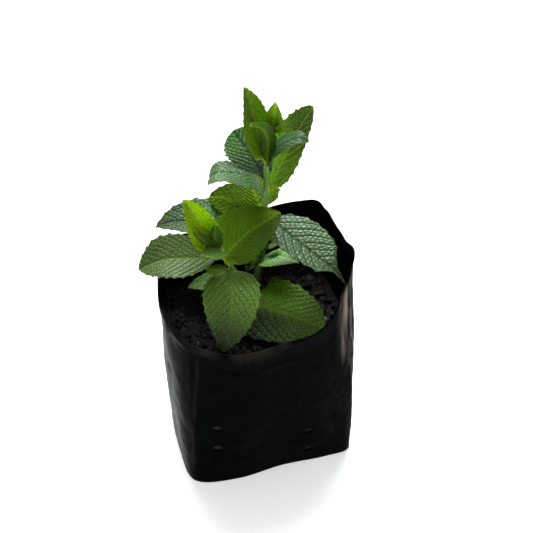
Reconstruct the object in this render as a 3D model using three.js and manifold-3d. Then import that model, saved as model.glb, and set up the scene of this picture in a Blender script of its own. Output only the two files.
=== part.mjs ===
// A potted mint plant: two leafy shoots in potting soil, in a black grow bag of thin film.
// Units are millimetres and +Z is up. The bag's front faces -Y and its base is centred on the origin.
import * as THREE from "three";
import Module from "manifold-3d";

const wasm = await Module();
wasm.setup();

// Driving dimensions of the bag
const FILM = 1.0; // thickness of the bag's wall
const GAP = 0.3; // clearance between pieces that touch
const BULGE = 1.6; // how far the filled wall bellies out
const BULGE_TOP = 0.87; // share of the wall's height below which it bellies out
const WRINKLE = 0.5; // depth of the wall's soft folds
const BAG_COLUMNS = 3; // columns of the wall between two key points
const BAG_LEVELS = [0, 0.02, 0.14, 0.32, 0.5, 0.66, 0.8, 0.91, 1];
const HOLE_HALF = [3.0, 2.2]; // half width and half height of a drain hole
const PUNCH_LENGTH = 120; // from in front of the bag to behind it

// Driving dimensions of the soil
const SOIL_TOP = 97; // mean height of its surface
const MOUND = { x: 11, y: 25, height: 1.6, spread: 500 }; // heap round the tall stem
const FRONT_DROP = 1.2; // how far the surface falls towards the front
const LUMPS = [0.9, 0.5]; // heights of the large and the small lumps
const SOIL_LEVELS = [0, 0.02, 0.14, 0.32, 0.5];
const SOIL_RINGS = [0.93, 0.82, 0.69, 0.55, 0.4, 0.24, 0.1];

// Driving dimensions of the stems
const STEM_DEPTH = 12; // length of a stem below the soil's surface
const STEM_SIDES = 10;
const CORNER = 0.07; // how far a stem's four corners stand out, as a share of its radius
const SWELLING = { share: 0.2, half: 2.2, reach: 3 }; // where leaves join a stem
const STEM_HOLE = 1.25; // a stem's hole in the soil, as a share of the stem's radius
const STEM_CAP = 1; // height of the rounded top

// Driving dimensions that all leaves share
const BLADE = 0.8; // thickness of a leaf blade
const PETIOLE = 3.0; // length of a leaf stalk
const STALK_HALF = 0.9; // half the width of a leaf stalk
const RISE = 0.52; // how fast a blade widens from its base
const TAPER = 0.86; // how sharply it narrows to its tip, unless the leaf says otherwise
const FOLD = 10; // lift of its two halves in degrees, unless the leaf says otherwise
const SWEEP = 0.1; // how far the side veins run forward, as a share of the length
const NOTCH = 0.02; // where a notch lies in its stretch of the edge
const TOOTH = 0.72; // where the tooth's point lies there
const BITE = { share: 0.07, least: 0.25, most: 1.1 }; // depth of the teeth, by half the width
const RELIEF = { share: 0.035, least: 0.15, most: 0.5 }; // height of the raised fields
const KEEL = 0.3; // how far the midrib stands out below, besides the relief
const ACROSS = { bud: [0, 0.6, 1], leaf: [0, 0.2, 0.6, 1], big: [0, 0.13, 0.45, 0.75, 1] }; // its lines

// Key points round the bag, from the front right corner by way of the back
const BASE_KEYS = [
  [53, -37], [54, -15], [54, 5], [52, 24], [47, 37], [28, 41], [4, 41], [-20, 40], [-42, 35],
  [-48, 16], [-51, -8], [-49, -36], [-22, -42.5], [8, -39], [36, -39],
];
const RIM_KEYS = [
  [53.5, -29, 149], [54, -12, 146], [54, 6, 143], [53.5, 24, 143], [49.5, 38, 143.5], [29, 42.5, 139],
  [3, 43, 133], [-23, 42, 132], [-45, 35, 134], [-52, 13, 129], [-53, -9, 118], [-45, -29, 110],
  [-23, -43, 104], [7, -43, 106], [35, -40, 113],
];

// Drain holes as x and z on the front, punched through both the front and the back
const DRAIN_HOLES = [[24.5, 11], [24.5, 28], [-34, 30], [-34, 47]];

// The two stems: their middle lines, their radii at the soil and at the top, the heights of their
// leaf joints, and the leaflets of their growing tips and side buds, which are one body with them
const STEMS = {
  tall: {
    line: [
      [11, 25, 86], [11, 25, 98], [15.5, 27, 126], [17, 27.5, 152], [18, 27.5, 164],
      [18.5, 27, 184], [20, 26, 203], [20.5, 25.5, 208],
    ],
    radii: [2.3, 1.3],
    nodes: [116, 141, 150, 165, 182, 204],
    buds: [
      { at: 206, tip: [18, 20, 215], width: 6, arch: 0.1, fold: 16 },
      { at: 206, tip: [27, 20, 212], width: 5, arch: 0.1, fold: 16 },
      { at: 118, tip: [14, 17, 131], width: 7, arch: 0.1, fold: 16 },
      { at: 112, tip: [0, 17, 123], width: 8, arch: 0.1, fold: 14 },
    ],
  },
  short: {
    line: [[2, 6, 86], [2, 6, 98], [-4, 4, 118], [-12, 3, 136], [-18, 3, 150], [-21, 4, 161]],
    radii: [2.0, 1.1],
    nodes: [106, 140, 151],
    buds: [
      { at: 158, tip: [-33.5, -3, 171], width: 8, arch: 0.1, fold: 14 },
      { at: 158, tip: [-21.5, 1, 170], width: 7, arch: -0.05, fold: 16, facing: 260 },
      { at: 158, tip: [-15, -3, 164], width: 5, arch: 0.1, fold: 16 },
    ],
  },
};
const BUD_STALK = 2; // length of a leaflet's stalk

// Leaves: the height at which each leaves its stem, its tip, its width, and how its blade is bent.
// arch lifts the midrib, sway moves it sideways, fold lifts both halves, roll turns the blade about
// its midrib, facing is the heading that the blade's sides are level to, taper sharpens the tip,
// stalk is the stalk's length, and lean is extra room where the stem leans over the stalk.
const LEAVES = {
  leaf_big_right: {
    stem: "tall", at: 142, tip: [51, -26, 129], width: 37, arch: 0.09, sway: -0.01,
    fold: 8, taper: 1.05, teeth: 9,
  },
  leaf_big_left: {
    stem: "tall", at: 133, tip: [-46, 47, 139], width: 36, arch: 0.04, sway: 0.05,
    fold: 3, taper: 0.7, teeth: 8,
  },
  leaf_back: { stem: "tall", at: 153, tip: [14, 55, 154], width: 28, arch: 0.12, fold: 6, teeth: 7 },
  leaf_back_left: {
    stem: "tall", at: 146, tip: [-10, 55, 147], width: 24, arch: 0.12, fold: 6, taper: 0.7, teeth: 7,
  },
  leaf_drooping_left: {
    stem: "tall", at: 163, tip: [-15, 34, 174], width: 22, arch: 0.38, fold: -5, taper: 0.42, teeth: 7,
  },
  leaf_upright_right: {
    stem: "tall", at: 166, tip: [47, 29.5, 219], width: 26, arch: -0.03, fold: 8, facing: 20, teeth: 8,
  },
  leaf_curled_left: {
    stem: "tall", at: 178, tip: [6, 48, 199], width: 27, arch: 0.2, sway: 0.07,
    fold: 0, facing: 100, taper: 0.55, teeth: 7,
  },
  leaf_curled_right: {
    stem: "tall", at: 181, tip: [41, 15.5, 205], width: 13, arch: 0.26, fold: -10, teeth: 7,
  },
  leaf_top_left: {
    stem: "tall", at: 186, tip: [7.5, 37, 234.5], width: 20, arch: 0.02, fold: 12, facing: 110, teeth: 7,
  },
  leaf_top_front: {
    stem: "tall", at: 185, tip: [11, 22, 218], width: 17, arch: -0.06,
    fold: -14, facing: 250, taper: 0.4, teeth: 6,
  },
  leaf_top_tip: {
    stem: "tall", at: 204, tip: [24, 29, 227], width: 13,
    fold: 14, facing: 60, teeth: 5, lean: 0.4,
  },
  leaf_low_front: {
    stem: "short", at: 134, tip: [-28, -37, 105], width: 34, arch: 0.13, sway: 0.06, fold: 8, teeth: 9,
  },
  leaf_low_left: {
    stem: "short", at: 141, tip: [-65, 11, 138], width: 34, arch: 0.1, sway: 0.03,
    fold: 10, taper: 0.6, lean: 0.5, teeth: 9,
  },
  leaf_cupped: {
    stem: "short", at: 136, tip: [21, 12, 162], width: 39, arch: 0.05, fold: 12, taper: 0.8, teeth: 8,
  },
  leaf_young_back: {
    stem: "short", at: 152, tip: [-36, 12, 183], width: 21, arch: -0.03,
    fold: 6, facing: 115, stalk: 5, teeth: 7,
  },
  leaf_young_front: { stem: "short", at: 150, tip: [-29, -8, 150], width: 14, arch: 0.1, fold: 14, teeth: 5 },
  leaf_small_left: { stem: "short", at: 107, tip: [-34, 19, 110], width: 20, arch: 0.2, fold: 8, teeth: 6 },
  leaf_lowest_right: {
    stem: "short", at: 105, tip: [35, -36, 107], width: 40, arch: 0.08, sway: -0.1, roll: 26,
    fold: 0, taper: 1.1, teeth: 9,
  },
  leaf_small_right: { stem: "tall", at: 116, tip: [30, 10, 118], width: 16, arch: 0.08, fold: 8, teeth: 5 },
};

const toRadians = THREE.MathUtils.degToRad;
const lerp = THREE.MathUtils.lerp;
const clamp = THREE.MathUtils.clamp;

// A repeatable random number between 0 and 1 for a pair of whole numbers
function hash(i, j) {
  const s = Math.sin(i * 127.1 + j * 311.7) * 43758.5453;
  return s - Math.floor(s);
}

// Smooth noise between -1 and 1
function noise(x, y) {
  const i = Math.floor(x);
  const j = Math.floor(y);
  const u = x - i;
  const v = y - j;
  const a = u * u * (3 - 2 * u);
  const b = v * v * (3 - 2 * v);
  const low = lerp(hash(i, j), hash(i + 1, j), a);
  const high = lerp(hash(i, j + 1), hash(i + 1, j + 1), a);
  return lerp(low, high, b) * 2 - 1;
}

// A closed surface from a list of points and of triangles
function geometryOf(points, triangles) {
  const geometry = new THREE.BufferGeometry();
  const flat = points.flatMap((p) => [p.x, p.y, p.z]);
  geometry.setAttribute("position", new THREE.BufferAttribute(new Float32Array(flat), 3));
  geometry.setIndex(triangles.flat());
  geometry.computeVertexNormals();
  return geometry;
}

// A closed surface as a solid that can be joined or cut
function solidOf(geometry) {
  const mesh = new wasm.Mesh({
    numProp: 3,
    vertProperties: new Float32Array(geometry.attributes.position.array),
    triVerts: new Uint32Array(geometry.index.array),
  });
  return new wasm.Manifold(mesh);
}

// The surface of a solid
function surfaceOf(solid) {
  const mesh = solid.getMesh();
  const geometry = new THREE.BufferGeometry();
  geometry.setAttribute("position", new THREE.BufferAttribute(new Float32Array(mesh.vertProperties), 3));
  geometry.setIndex(Array.from(mesh.triVerts));
  geometry.computeVertexNormals();
  return geometry;
}

// An elliptical rod along Z from the XY plane, used as the cutter for a hole
function rod(halfWidth, halfHeight, length) {
  const shape = new THREE.Shape().absellipse(0, 0, halfWidth, halfHeight, 0, Math.PI * 2);
  return new THREE.ExtrudeGeometry(shape, { depth: length, bevelEnabled: false, curveSegments: 6 });
}

// Joins the vertices of a geometry that lie at the same place
function weld(geometry) {
  const source = geometry.index ? geometry.toNonIndexed() : geometry;
  const position = source.getAttribute("position");
  const seen = new Map();
  const points = [];
  const corners = [];
  for (let i = 0; i < position.count; i += 1) {
    const p = new THREE.Vector3().fromBufferAttribute(position, i);
    const key = [p.x, p.y, p.z].map((c) => c.toFixed(4)).join();
    if (!seen.has(key)) {
      seen.set(key, points.length);
      points.push(p);
    }
    corners.push(seen.get(key));
  }
  const triangles = [];
  for (let i = 0; i < corners.length; i += 3) triangles.push(corners.slice(i, i + 3));
  return geometryOf(points, triangles);
}

// A point on a smooth closed curve through key points, t counted in keys
function closedCurve(keys, t) {
  const count = keys.length;
  const first = Math.floor(t);
  const w = t - first;
  const at = (offset) => keys[(first + offset + count) % count];
  return keys[0].map((_, axis) => {
    const [a, b, c, d] = [at(-1)[axis], at(0)[axis], at(1)[axis], at(2)[axis]];
    const slope = (c - a) * w;
    const bend = (2 * a - 5 * b + 4 * c - d) * w * w;
    const twist = (3 * b - a - 3 * c + d) * w * w * w;
    return 0.5 * (2 * b + slope + bend + twist);
  });
}

// A point of the bag's outer wall: t round it in keys, s up it from 0 to 1
function wallPoint(t, s) {
  const base = closedCurve(BASE_KEYS, t);
  const rim = closedCurve(RIM_KEYS, t);
  const out = new THREE.Vector2(base[0], base[1]).normalize();
  const belly = BULGE * Math.max(0, Math.sin(Math.PI * Math.min(1, s / BULGE_TOP))) ** 0.8;
  const fold = WRINKLE * noise(t * 1.7, s * 5) * Math.sin(Math.PI * s);
  const push = belly + fold;
  return new THREE.Vector3(
    lerp(base[0], rim[0], s) + out.x * push,
    lerp(base[1], rim[1], s) + out.y * push,
    rim[2] * s,
  );
}

// The same point moved inwards by a distance
function insideWall(t, s, inset) {
  const step = 0.34;
  const before = wallPoint(t - step + BASE_KEYS.length, s);
  const after = wallPoint(t + step, s);
  const here = wallPoint(t, s);
  const one = new THREE.Vector2(here.x - before.x, here.y - before.y).normalize();
  const two = new THREE.Vector2(after.x - here.x, after.y - here.y).normalize();
  const along = one.clone().add(two).normalize();
  const mitre = inset / Math.max(0.6, along.dot(one));
  return new THREE.Vector3(here.x - along.y * mitre, here.y + along.x * mitre, here.z);
}

// Columns round the bag, in keys
function columns() {
  const count = BASE_KEYS.length * BAG_COLUMNS;
  return Array.from({ length: count }, (_, k) => k / BAG_COLUMNS);
}

// Triangles between a lower and an upper closed ring of points, facing out or in.
// Both ways the quads are split along the same diagonal, so that nested walls stay apart.
function band(lower, upper, count, inward = false) {
  const triangles = [];
  for (let k = 0; k < count; k += 1) {
    const next = (k + 1) % count;
    const pair = [[lower + k, lower + next, upper + next], [lower + k, upper + next, upper + k]];
    triangles.push(...(inward ? pair.map((t) => t.reverse()) : pair));
  }
  return triangles;
}

// Triangles from a closed ring of points to one point in its middle
function fan(ring, middle, count, up) {
  const triangles = [];
  for (let k = 0; k < count; k += 1) {
    const next = (k + 1) % count;
    triangles.push(up ? [ring + k, ring + next, middle] : [ring + next, ring + k, middle]);
  }
  return triangles;
}

// The bag: an open film box with a flat base and a wavy rim, with drain holes near its base
function bagGeometry() {
  const round = columns();
  const count = round.length;
  const points = [];
  const triangles = [];
  const outside = BAG_LEVELS.map((s) => {
    points.push(...round.map((t) => wallPoint(t, s)));
    return points.length - count;
  });
  const inside = BAG_LEVELS.slice(1).map((s) => {
    points.push(...round.map((t) => insideWall(t, s, FILM)));
    return points.length - count;
  });
  for (let i = 1; i < outside.length; i += 1) triangles.push(...band(outside[i - 1], outside[i], count));
  for (let i = 1; i < inside.length; i += 1) triangles.push(...band(inside[i - 1], inside[i], count, true));
  triangles.push(...band(outside.at(-1), inside.at(-1), count));
  const floorRing = points.length;
  points.push(...round.map((t) => insideWall(t, 0, FILM).setZ(FILM)));
  triangles.push(...band(floorRing, inside[0], count, true));
  points.push(new THREE.Vector3(0, 0, FILM), new THREE.Vector3(0, 0, 0));
  triangles.push(...fan(floorRing, points.length - 2, count, true));
  triangles.push(...fan(outside[0], points.length - 1, count, false));
  let bag = solidOf(geometryOf(points, triangles));
  for (const [x, z] of DRAIN_HOLES) {
    const punch = rod(...HOLE_HALF, PUNCH_LENGTH).rotateX(Math.PI / 2).translate(x, PUNCH_LENGTH / 2, z);
    bag = bag.subtract(solidOf(weld(punch)));
  }
  return surfaceOf(bag);
}

// Height of the soil at a point
function soilHeight(x, y) {
  const front = clamp((-y - 8) / 30, 0, 1);
  const mound = MOUND.height * Math.exp(-((x - MOUND.x) ** 2 + (y - MOUND.y) ** 2) / MOUND.spread);
  const lumps = LUMPS[0] * noise(x / 9 + 3, y / 9) + LUMPS[1] * noise(x / 4, y / 4 + 7);
  return SOIL_TOP + mound - FRONT_DROP * front + lumps * (1 - 0.45 * front);
}

// The soil: a block that fills the bag, with a lumpy top and a plain hole for each stem
function soilGeometry() {
  const round = columns();
  const count = round.length;
  const inset = FILM + GAP;
  const points = [];
  const triangles = [];
  const rings = SOIL_LEVELS.map((s) => {
    points.push(...round.map((t) => {
      const p = insideWall(t, s, inset);
      return s === 0 ? p.setZ(inset) : p;
    }));
    return points.length - count;
  });
  const edge = round.map((t) => {
    const rise = closedCurve(RIM_KEYS, t)[2];
    const flat = insideWall(t, SOIL_TOP / rise, inset);
    return insideWall(t, soilHeight(flat.x * 0.97, flat.y * 0.97) / rise, inset + GAP / 2);
  });
  points.push(...edge.map((p, k) => {
    const rise = closedCurve(RIM_KEYS, round[k])[2];
    return insideWall(round[k], lerp(SOIL_LEVELS.at(-1), p.z / rise, 0.6), inset + GAP / 2);
  }));
  rings.push(points.length - count);
  points.push(...edge);
  rings.push(points.length - count);
  for (const share of SOIL_RINGS) {
    points.push(...edge.map((p) => {
      const x = p.x * share;
      const y = p.y * share;
      return new THREE.Vector3(x, y, soilHeight(x, y));
    }));
    rings.push(points.length - count);
  }
  for (let i = 1; i < rings.length; i += 1) triangles.push(...band(rings[i - 1], rings[i], count));
  points.push(new THREE.Vector3(0, 0, soilHeight(0, 0)), new THREE.Vector3(0, 0, inset));
  triangles.push(...fan(rings.at(-1), points.length - 2, count, true));
  triangles.push(...fan(rings[0], points.length - 1, count, false));
  let soil = solidOf(geometryOf(points, triangles));
  for (const { line, radii } of Object.values(STEMS)) {
    const [x, y] = line[0];
    const radius = radii[0] * STEM_HOLE + GAP;
    const drill = rod(radius, radius, STEM_DEPTH * 2).translate(x, y, SOIL_TOP - STEM_DEPTH);
    soil = soil.subtract(solidOf(weld(drill)));
  }
  return surfaceOf(soil);
}

// The middle of a stem at a height
function stemPoint(line, z) {
  let k = 1;
  while (k < line.length - 1 && line[k][2] < z) k += 1;
  const [a, b] = [line[k - 1], line[k]];
  const w = clamp((z - a[2]) / (b[2] - a[2]), 0, 1);
  return new THREE.Vector3(lerp(a[0], b[0], w), lerp(a[1], b[1], w), z);
}

// The radius of a stem at a height, with a swelling where leaves join it
function stemRadius(line, radii, nodes, z) {
  const low = line[1][2];
  const high = line.at(-1)[2];
  const plain = lerp(radii[0], radii[1], clamp((z - low) / (high - low), 0, 1));
  const swelling = nodes.reduce((most, n) => Math.max(most, Math.exp(-(((z - n) / SWELLING.half) ** 2))), 0);
  return plain * (1 + SWELLING.share * swelling);
}

// A four-cornered stem with rounded corners
function stemGeometry(line, radii, nodes) {
  const heights = new Set(line.map((p) => p[2]));
  nodes.forEach((n) => [n - SWELLING.reach, n, n + SWELLING.reach].forEach((z) => heights.add(z)));
  const top = line.at(-1)[2];
  const levels = [...heights].filter((z) => z <= top).sort((a, b) => a - b);
  const points = [];
  const triangles = [];
  for (const z of levels) {
    const middle = stemPoint(line, z);
    const radius = stemRadius(line, radii, nodes, z);
    for (let k = 0; k < STEM_SIDES; k += 1) {
      const angle = (k / STEM_SIDES) * Math.PI * 2;
      const r = radius * (1 + CORNER * Math.cos(4 * angle));
      points.push(new THREE.Vector3(middle.x + r * Math.cos(angle), middle.y + r * Math.sin(angle), z));
    }
  }
  for (let i = 1; i < levels.length; i += 1) {
    triangles.push(...band((i - 1) * STEM_SIDES, i * STEM_SIDES, STEM_SIDES));
  }
  const last = (levels.length - 1) * STEM_SIDES;
  points.push(stemPoint(line, top).setZ(top + STEM_CAP), stemPoint(line, levels[0]));
  triangles.push(...fan(last, points.length - 2, STEM_SIDES, true));
  triangles.push(...fan(0, points.length - 1, STEM_SIDES, false));
  return geometryOf(points, triangles);
}

// Share of the full half width at t along a blade, from its base to its tip
function outline(t, taper) {
  const widest = RISE / (RISE + taper);
  const most = widest ** RISE * (1 - widest) ** taper;
  return (clamp(t, 0, 1) ** RISE * (1 - clamp(t, 0, 1)) ** taper) / most;
}

// The curve of a leaf's midrib, with the blade's side and upper directions along it
function midrib(leaf) {
  const start = leaf.base;
  const end = new THREE.Vector3(...leaf.tip);
  const chord = end.clone().sub(start);
  const span = chord.length();
  const heading = leaf.facing === undefined ? Math.atan2(chord.y, chord.x) : toRadians(leaf.facing);
  const side = new THREE.Vector3(-Math.sin(heading), Math.cos(heading), 0);
  const up = chord.clone().cross(side).normalize();
  const across = up.clone().cross(chord).normalize();
  const bend = start.clone().addScaledVector(chord, 0.5);
  bend.addScaledVector(up, (leaf.arch ?? 0) * 2 * span);
  bend.addScaledVector(across, (leaf.sway ?? 0) * 2 * span);
  const curve = new THREE.QuadraticBezierCurve3(start, bend, end);
  const roll = toRadians(leaf.roll ?? 0);
  return {
    length: curve.getLength(),
    at(s) {
      const along = bend.clone().sub(start).multiplyScalar(1 - s);
      along.addScaledVector(end.clone().sub(bend), s).normalize();
      const flat = side.clone().addScaledVector(along, -along.dot(side)).normalize();
      const above = along.clone().cross(flat);
      const turned = flat.clone().multiplyScalar(Math.cos(roll)).addScaledVector(above, Math.sin(roll));
      const raised = above.clone().multiplyScalar(Math.cos(roll)).addScaledVector(flat, -Math.sin(roll));
      return { point: curve.getPoint(s), along, side: turned, up: raised };
    },
  };
}

// A size by half a leaf's width, held within its least and its most
function byWidth(rule, half) {
  return clamp(half * rule.share, rule.least, rule.most);
}

// Rows of a leaf's grid: two for the stalk, then a notch with the raised field and a tooth with
// its side vein in turn, then the tip. u runs from -1 over the stalk to 0 and over the blade to 1.
function leafRows(teeth) {
  const rows = [{ u: -1, kind: "stalk" }, { u: -0.45, kind: "stalk" }];
  for (let k = 0; k < teeth; k += 1) {
    rows.push({ u: k / teeth + NOTCH, kind: "field" });
    rows.push({ u: (k + TOOTH) / teeth, kind: "vein" });
  }
  rows.push({ u: 1, kind: "tip" });
  return rows;
}

// A grid of points through the middle of a leaf's thickness
function leafSheet(leaf, rows, strips, net) {
  const rib = midrib(leaf);
  const stalk = (leaf.stalk ?? PETIOLE) / rib.length;
  const half = leaf.width / 2;
  const lift = toRadians(leaf.fold ?? FOLD);
  const stalkHalf = Math.min(STALK_HALF, half * 0.3);
  const bite = byWidth(BITE, half) / 2;
  const edges = { vein: bite, field: -bite };
  const quilts = { vein: -byWidth(RELIEF, half), field: byWidth(RELIEF, half) };
  return rows.map(({ u, kind }) => strips.map((v) => {
    const size = Math.abs(v);
    const blade = Math.max(0, u);
    const own = u < 0 ? stalk * (1 + u) : stalk + (1 - stalk) * blade;
    const s = own + SWEEP * size * 4 * blade * (1 - blade) * (1 - stalk);
    const t = (s - stalk) / (1 - stalk);
    const wide = Math.hypot(outline(t, leaf.taper ?? TAPER) * half, stalkHalf * (1 - clamp(t, 0, 0.65)));
    const edge = size === 1 && t > 0.1 ? (edges[kind] ?? 0) * Math.min(1, wide / half + 0.3) : 0;
    const reach = wide * size + edge;
    const crown = Math.sin(Math.PI * Math.min(1, size * 1.1)) ** 0.5 * Math.min(1, wide / half);
    const quilt = (quilts[kind] ?? 0) * crown * (size === net ? 0.6 : 1);
    const frame = rib.at(clamp(s, 0, 1));
    return frame.point
      .addScaledVector(frame.side, Math.sign(v) * reach * Math.cos(lift))
      .addScaledVector(frame.up, reach * Math.sin(lift) + quilt);
  }));
}

// A leaf: a stalk and a blade with a toothed edge, a midrib keel and a quilted net of veins
function leafGeometry(leaf) {
  const teeth = leaf.teeth ?? 3;
  const half = leaf.width / 2;
  const across = teeth > 8 ? ACROSS.big : teeth > 3 ? ACROSS.leaf : ACROSS.bud;
  const strips = [...across.slice(1).reverse().map((v) => -v), ...across];
  const rows = leafRows(teeth);
  const middle = leafSheet(leaf, rows, strips, across.at(-3));
  const keel = 0.9 * byWidth(RELIEF, half) + KEEL;
  const stalkDepth = Math.min(STALK_HALF, half * 0.3) * 0.8;
  const wide = strips.length;
  const points = [];
  for (const under of [false, true]) {
    middle.forEach((row, i) => row.forEach((p, j) => {
      const next = middle[Math.min(i + 1, middle.length - 1)][j];
      const last = middle[Math.max(i - 1, 0)][j];
      const left = row[Math.min(j + 1, wide - 1)];
      const right = row[Math.max(j - 1, 0)];
      const normal = next.clone().sub(last).cross(left.clone().sub(right)).normalize();
      const size = Math.abs(strips[j]);
      const stalkPart = rows[i].u < 0 ? 1 : Math.max(0, 1 - rows[i].u * teeth * 0.7);
      const round = Math.sqrt(Math.max(0, 1 - size * size)) * stalkPart * stalkDepth;
      const rib = size === 0 ? keel * (1 - 0.6 * Math.max(0, rows[i].u)) : 0;
      const depth = BLADE / 2 + (under ? Math.max(round, rib) : round * 0.3);
      points.push(p.clone().addScaledVector(normal, under ? -depth : depth));
    }));
  }
  return geometryOf(points, sheetTriangles(middle.length, wide));
}

// Triangles of a closed sheet from the grid of its top, followed by the grid of its underside.
// Both faces are split alike, so that they never cross where the sheet is waved.
function sheetTriangles(count, wide) {
  const low = count * wide;
  const triangles = [];
  const quad = (a, b, c, d) => triangles.push([a, b, c], [a, c, d]);
  for (let i = 0; i < count - 1; i += 1) {
    for (let j = 0; j < wide - 1; j += 1) {
      const a = i * wide + j;
      quad(a, a + wide, a + wide + 1, a + 1);
      const b = low + a;
      triangles.push([b, b + wide + 1, b + wide], [b, b + 1, b + wide + 1]);
    }
    const right = i * wide;
    const left = i * wide + wide - 1;
    quad(right, low + right, low + right + wide, right + wide);
    quad(left, left + wide, low + left + wide, low + left);
  }
  for (let j = 0; j < wide - 1; j += 1) {
    const end = (count - 1) * wide + j;
    quad(j, j + 1, low + j + 1, low + j);
    quad(end, low + end, low + end + 1, end + 1);
  }
  return triangles;
}

// The start of a leaf's stalk: just clear of its stem, on the side that the leaf grows from
function seat(leaf) {
  const { line, radii, nodes } = STEMS[leaf.stem];
  const middle = stemPoint(line, leaf.at);
  const toTip = new THREE.Vector3(...leaf.tip).sub(middle);
  const level = Math.hypot(toTip.x, toTip.y);
  const steep = Math.abs(midrib({ ...leaf, base: middle }).at(0).along.z);
  const clear = stemRadius(line, radii, nodes, leaf.at) * 1.07 + GAP + 0.65 * steep + (leaf.lean ?? 0);
  middle.x += (toTip.x / level) * clear;
  middle.y += (toTip.y / level) * clear;
  return { ...leaf, base: middle };
}

// A stem with its buds, joined to one body
function shootGeometry({ line, radii, nodes, buds }) {
  let shoot = solidOf(stemGeometry(line, radii, nodes));
  for (const bud of buds) {
    const rooted = { ...bud, base: stemPoint(line, bud.at), stalk: BUD_STALK };
    shoot = shoot.add(solidOf(leafGeometry(rooted)));
  }
  return surfaceOf(shoot);
}

// A material from its colour, roughness and name
function finish(name, colour, roughness) {
  return new THREE.MeshStandardMaterial({ name, color: colour, roughness, metalness: 0 });
}

const FILM_BLACK = finish("bag_film", 0x0b0c0d, 0.3);
const SOIL_BROWN = finish("potting_soil", 0x1c1712, 0.95);
const STEM_GREEN = finish("mint_stem", 0x6f8a3c, 0.6);
const LEAF_GREEN = finish("mint_leaf", 0x4d6f2a, 0.5);
const YOUNG_GREEN = finish("young_leaf", 0x7fa020, 0.5);
const YOUNG_LEAVES = ["leaf_young_back", "leaf_young_front", "leaf_top_tip", "leaf_top_front"];

// A named piece
function piece(name, geometry, material) {
  const mesh = new THREE.Mesh(geometry, material);
  mesh.name = name;
  return mesh;
}

const plant = new THREE.Group();
plant.add(piece("grow_bag", bagGeometry(), FILM_BLACK));
plant.add(piece("potting_soil", soilGeometry(), SOIL_BROWN));
plant.add(piece("tall_stem", shootGeometry(STEMS.tall), STEM_GREEN));
plant.add(piece("short_stem", shootGeometry(STEMS.short), STEM_GREEN));
for (const [name, leaf] of Object.entries(LEAVES)) {
  const material = YOUNG_LEAVES.includes(name) ? YOUNG_GREEN : LEAF_GREEN;
  plant.add(piece(name, leafGeometry(seat(leaf)), material));
}

export default plant;
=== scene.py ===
"""A potted mint plant: two leafy shoots in potting soil, in a black grow bag of thin film.

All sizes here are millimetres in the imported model's own frame, +Z up, and MM turns them into metres
when a mesh is placed. TURN is a full turn in radians, the limit of random angles. Leaves, stems,
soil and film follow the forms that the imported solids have, on finer meshes, and add veins, hairs,
crumbs, fibres, creases and the rim's rolled lip.
"""
from __future__ import annotations

import logging
import math
import sys
from dataclasses import dataclass, field
from enum import Enum
from functools import cache
from typing import Sequence, TypeAlias

import bpy
import numpy as np
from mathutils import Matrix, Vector

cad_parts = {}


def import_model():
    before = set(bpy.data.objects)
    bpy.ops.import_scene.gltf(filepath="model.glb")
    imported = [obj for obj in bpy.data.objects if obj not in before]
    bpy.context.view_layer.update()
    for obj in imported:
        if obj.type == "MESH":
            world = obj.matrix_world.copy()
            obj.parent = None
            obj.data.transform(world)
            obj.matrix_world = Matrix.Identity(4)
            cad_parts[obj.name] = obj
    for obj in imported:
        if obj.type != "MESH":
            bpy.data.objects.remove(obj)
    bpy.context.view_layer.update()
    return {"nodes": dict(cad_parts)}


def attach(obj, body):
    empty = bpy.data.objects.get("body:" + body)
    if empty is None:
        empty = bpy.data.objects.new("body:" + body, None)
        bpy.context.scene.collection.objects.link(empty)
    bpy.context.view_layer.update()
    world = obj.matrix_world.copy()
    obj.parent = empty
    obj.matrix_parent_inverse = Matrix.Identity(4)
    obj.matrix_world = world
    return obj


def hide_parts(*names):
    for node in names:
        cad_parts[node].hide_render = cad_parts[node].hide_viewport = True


LOG = logging.getLogger("mint")
MM = 0.001
TURN = 6.28
Array: TypeAlias = np.ndarray


# Numbers and curves

def lerp(a: Array | float, b: Array | float, w: Array | float) -> Array | float:
    """The value a share w of the way from a to b."""
    return a + (b - a) * w


def smooth(low: float, high: float, x: Array) -> Array:
    """A soft step of x from 0 at low to 1 at high."""
    w = np.clip((x - low) / (high - low), 0, 1)
    return w * w * (3 - 2 * w)


def bell(x: Array | float, half: float) -> Array | float:
    """A soft bump of height 1 round 0 that is down to a third at half."""
    return np.exp(-((x / half) ** 2))


def unit(v: Array) -> Array:
    """Vectors along the last axis, each made one long."""
    return v / np.maximum(np.linalg.norm(v, axis=-1, keepdims=True), 1e-12)


def hashed(i: Array, j: Array) -> Array:
    """A repeatable random number from 0 to 1 for each pair of whole numbers."""
    s = np.sin(i * 127.1 + j * 311.7) * 43758.5453
    return s - np.floor(s)


def noise(x: Array, y: Array) -> Array:
    """Smooth noise at points of a plane, with waves about two units long.

    Args:
        x: Places along one axis.
        y: Places along the other.

    Returns:
        A value from -1 to 1 for each point.
    """
    x, y = np.broadcast_arrays(np.asarray(x, float), np.asarray(y, float))
    i, j = np.floor(x), np.floor(y)
    u, v = x - i, y - j
    a, b = u * u * (3 - 2 * u), v * v * (3 - 2 * v)
    low = lerp(hashed(i, j), hashed(i + 1, j), a)
    high = lerp(hashed(i, j + 1), hashed(i + 1, j + 1), a)
    return lerp(low, high, b) * 2 - 1


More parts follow.
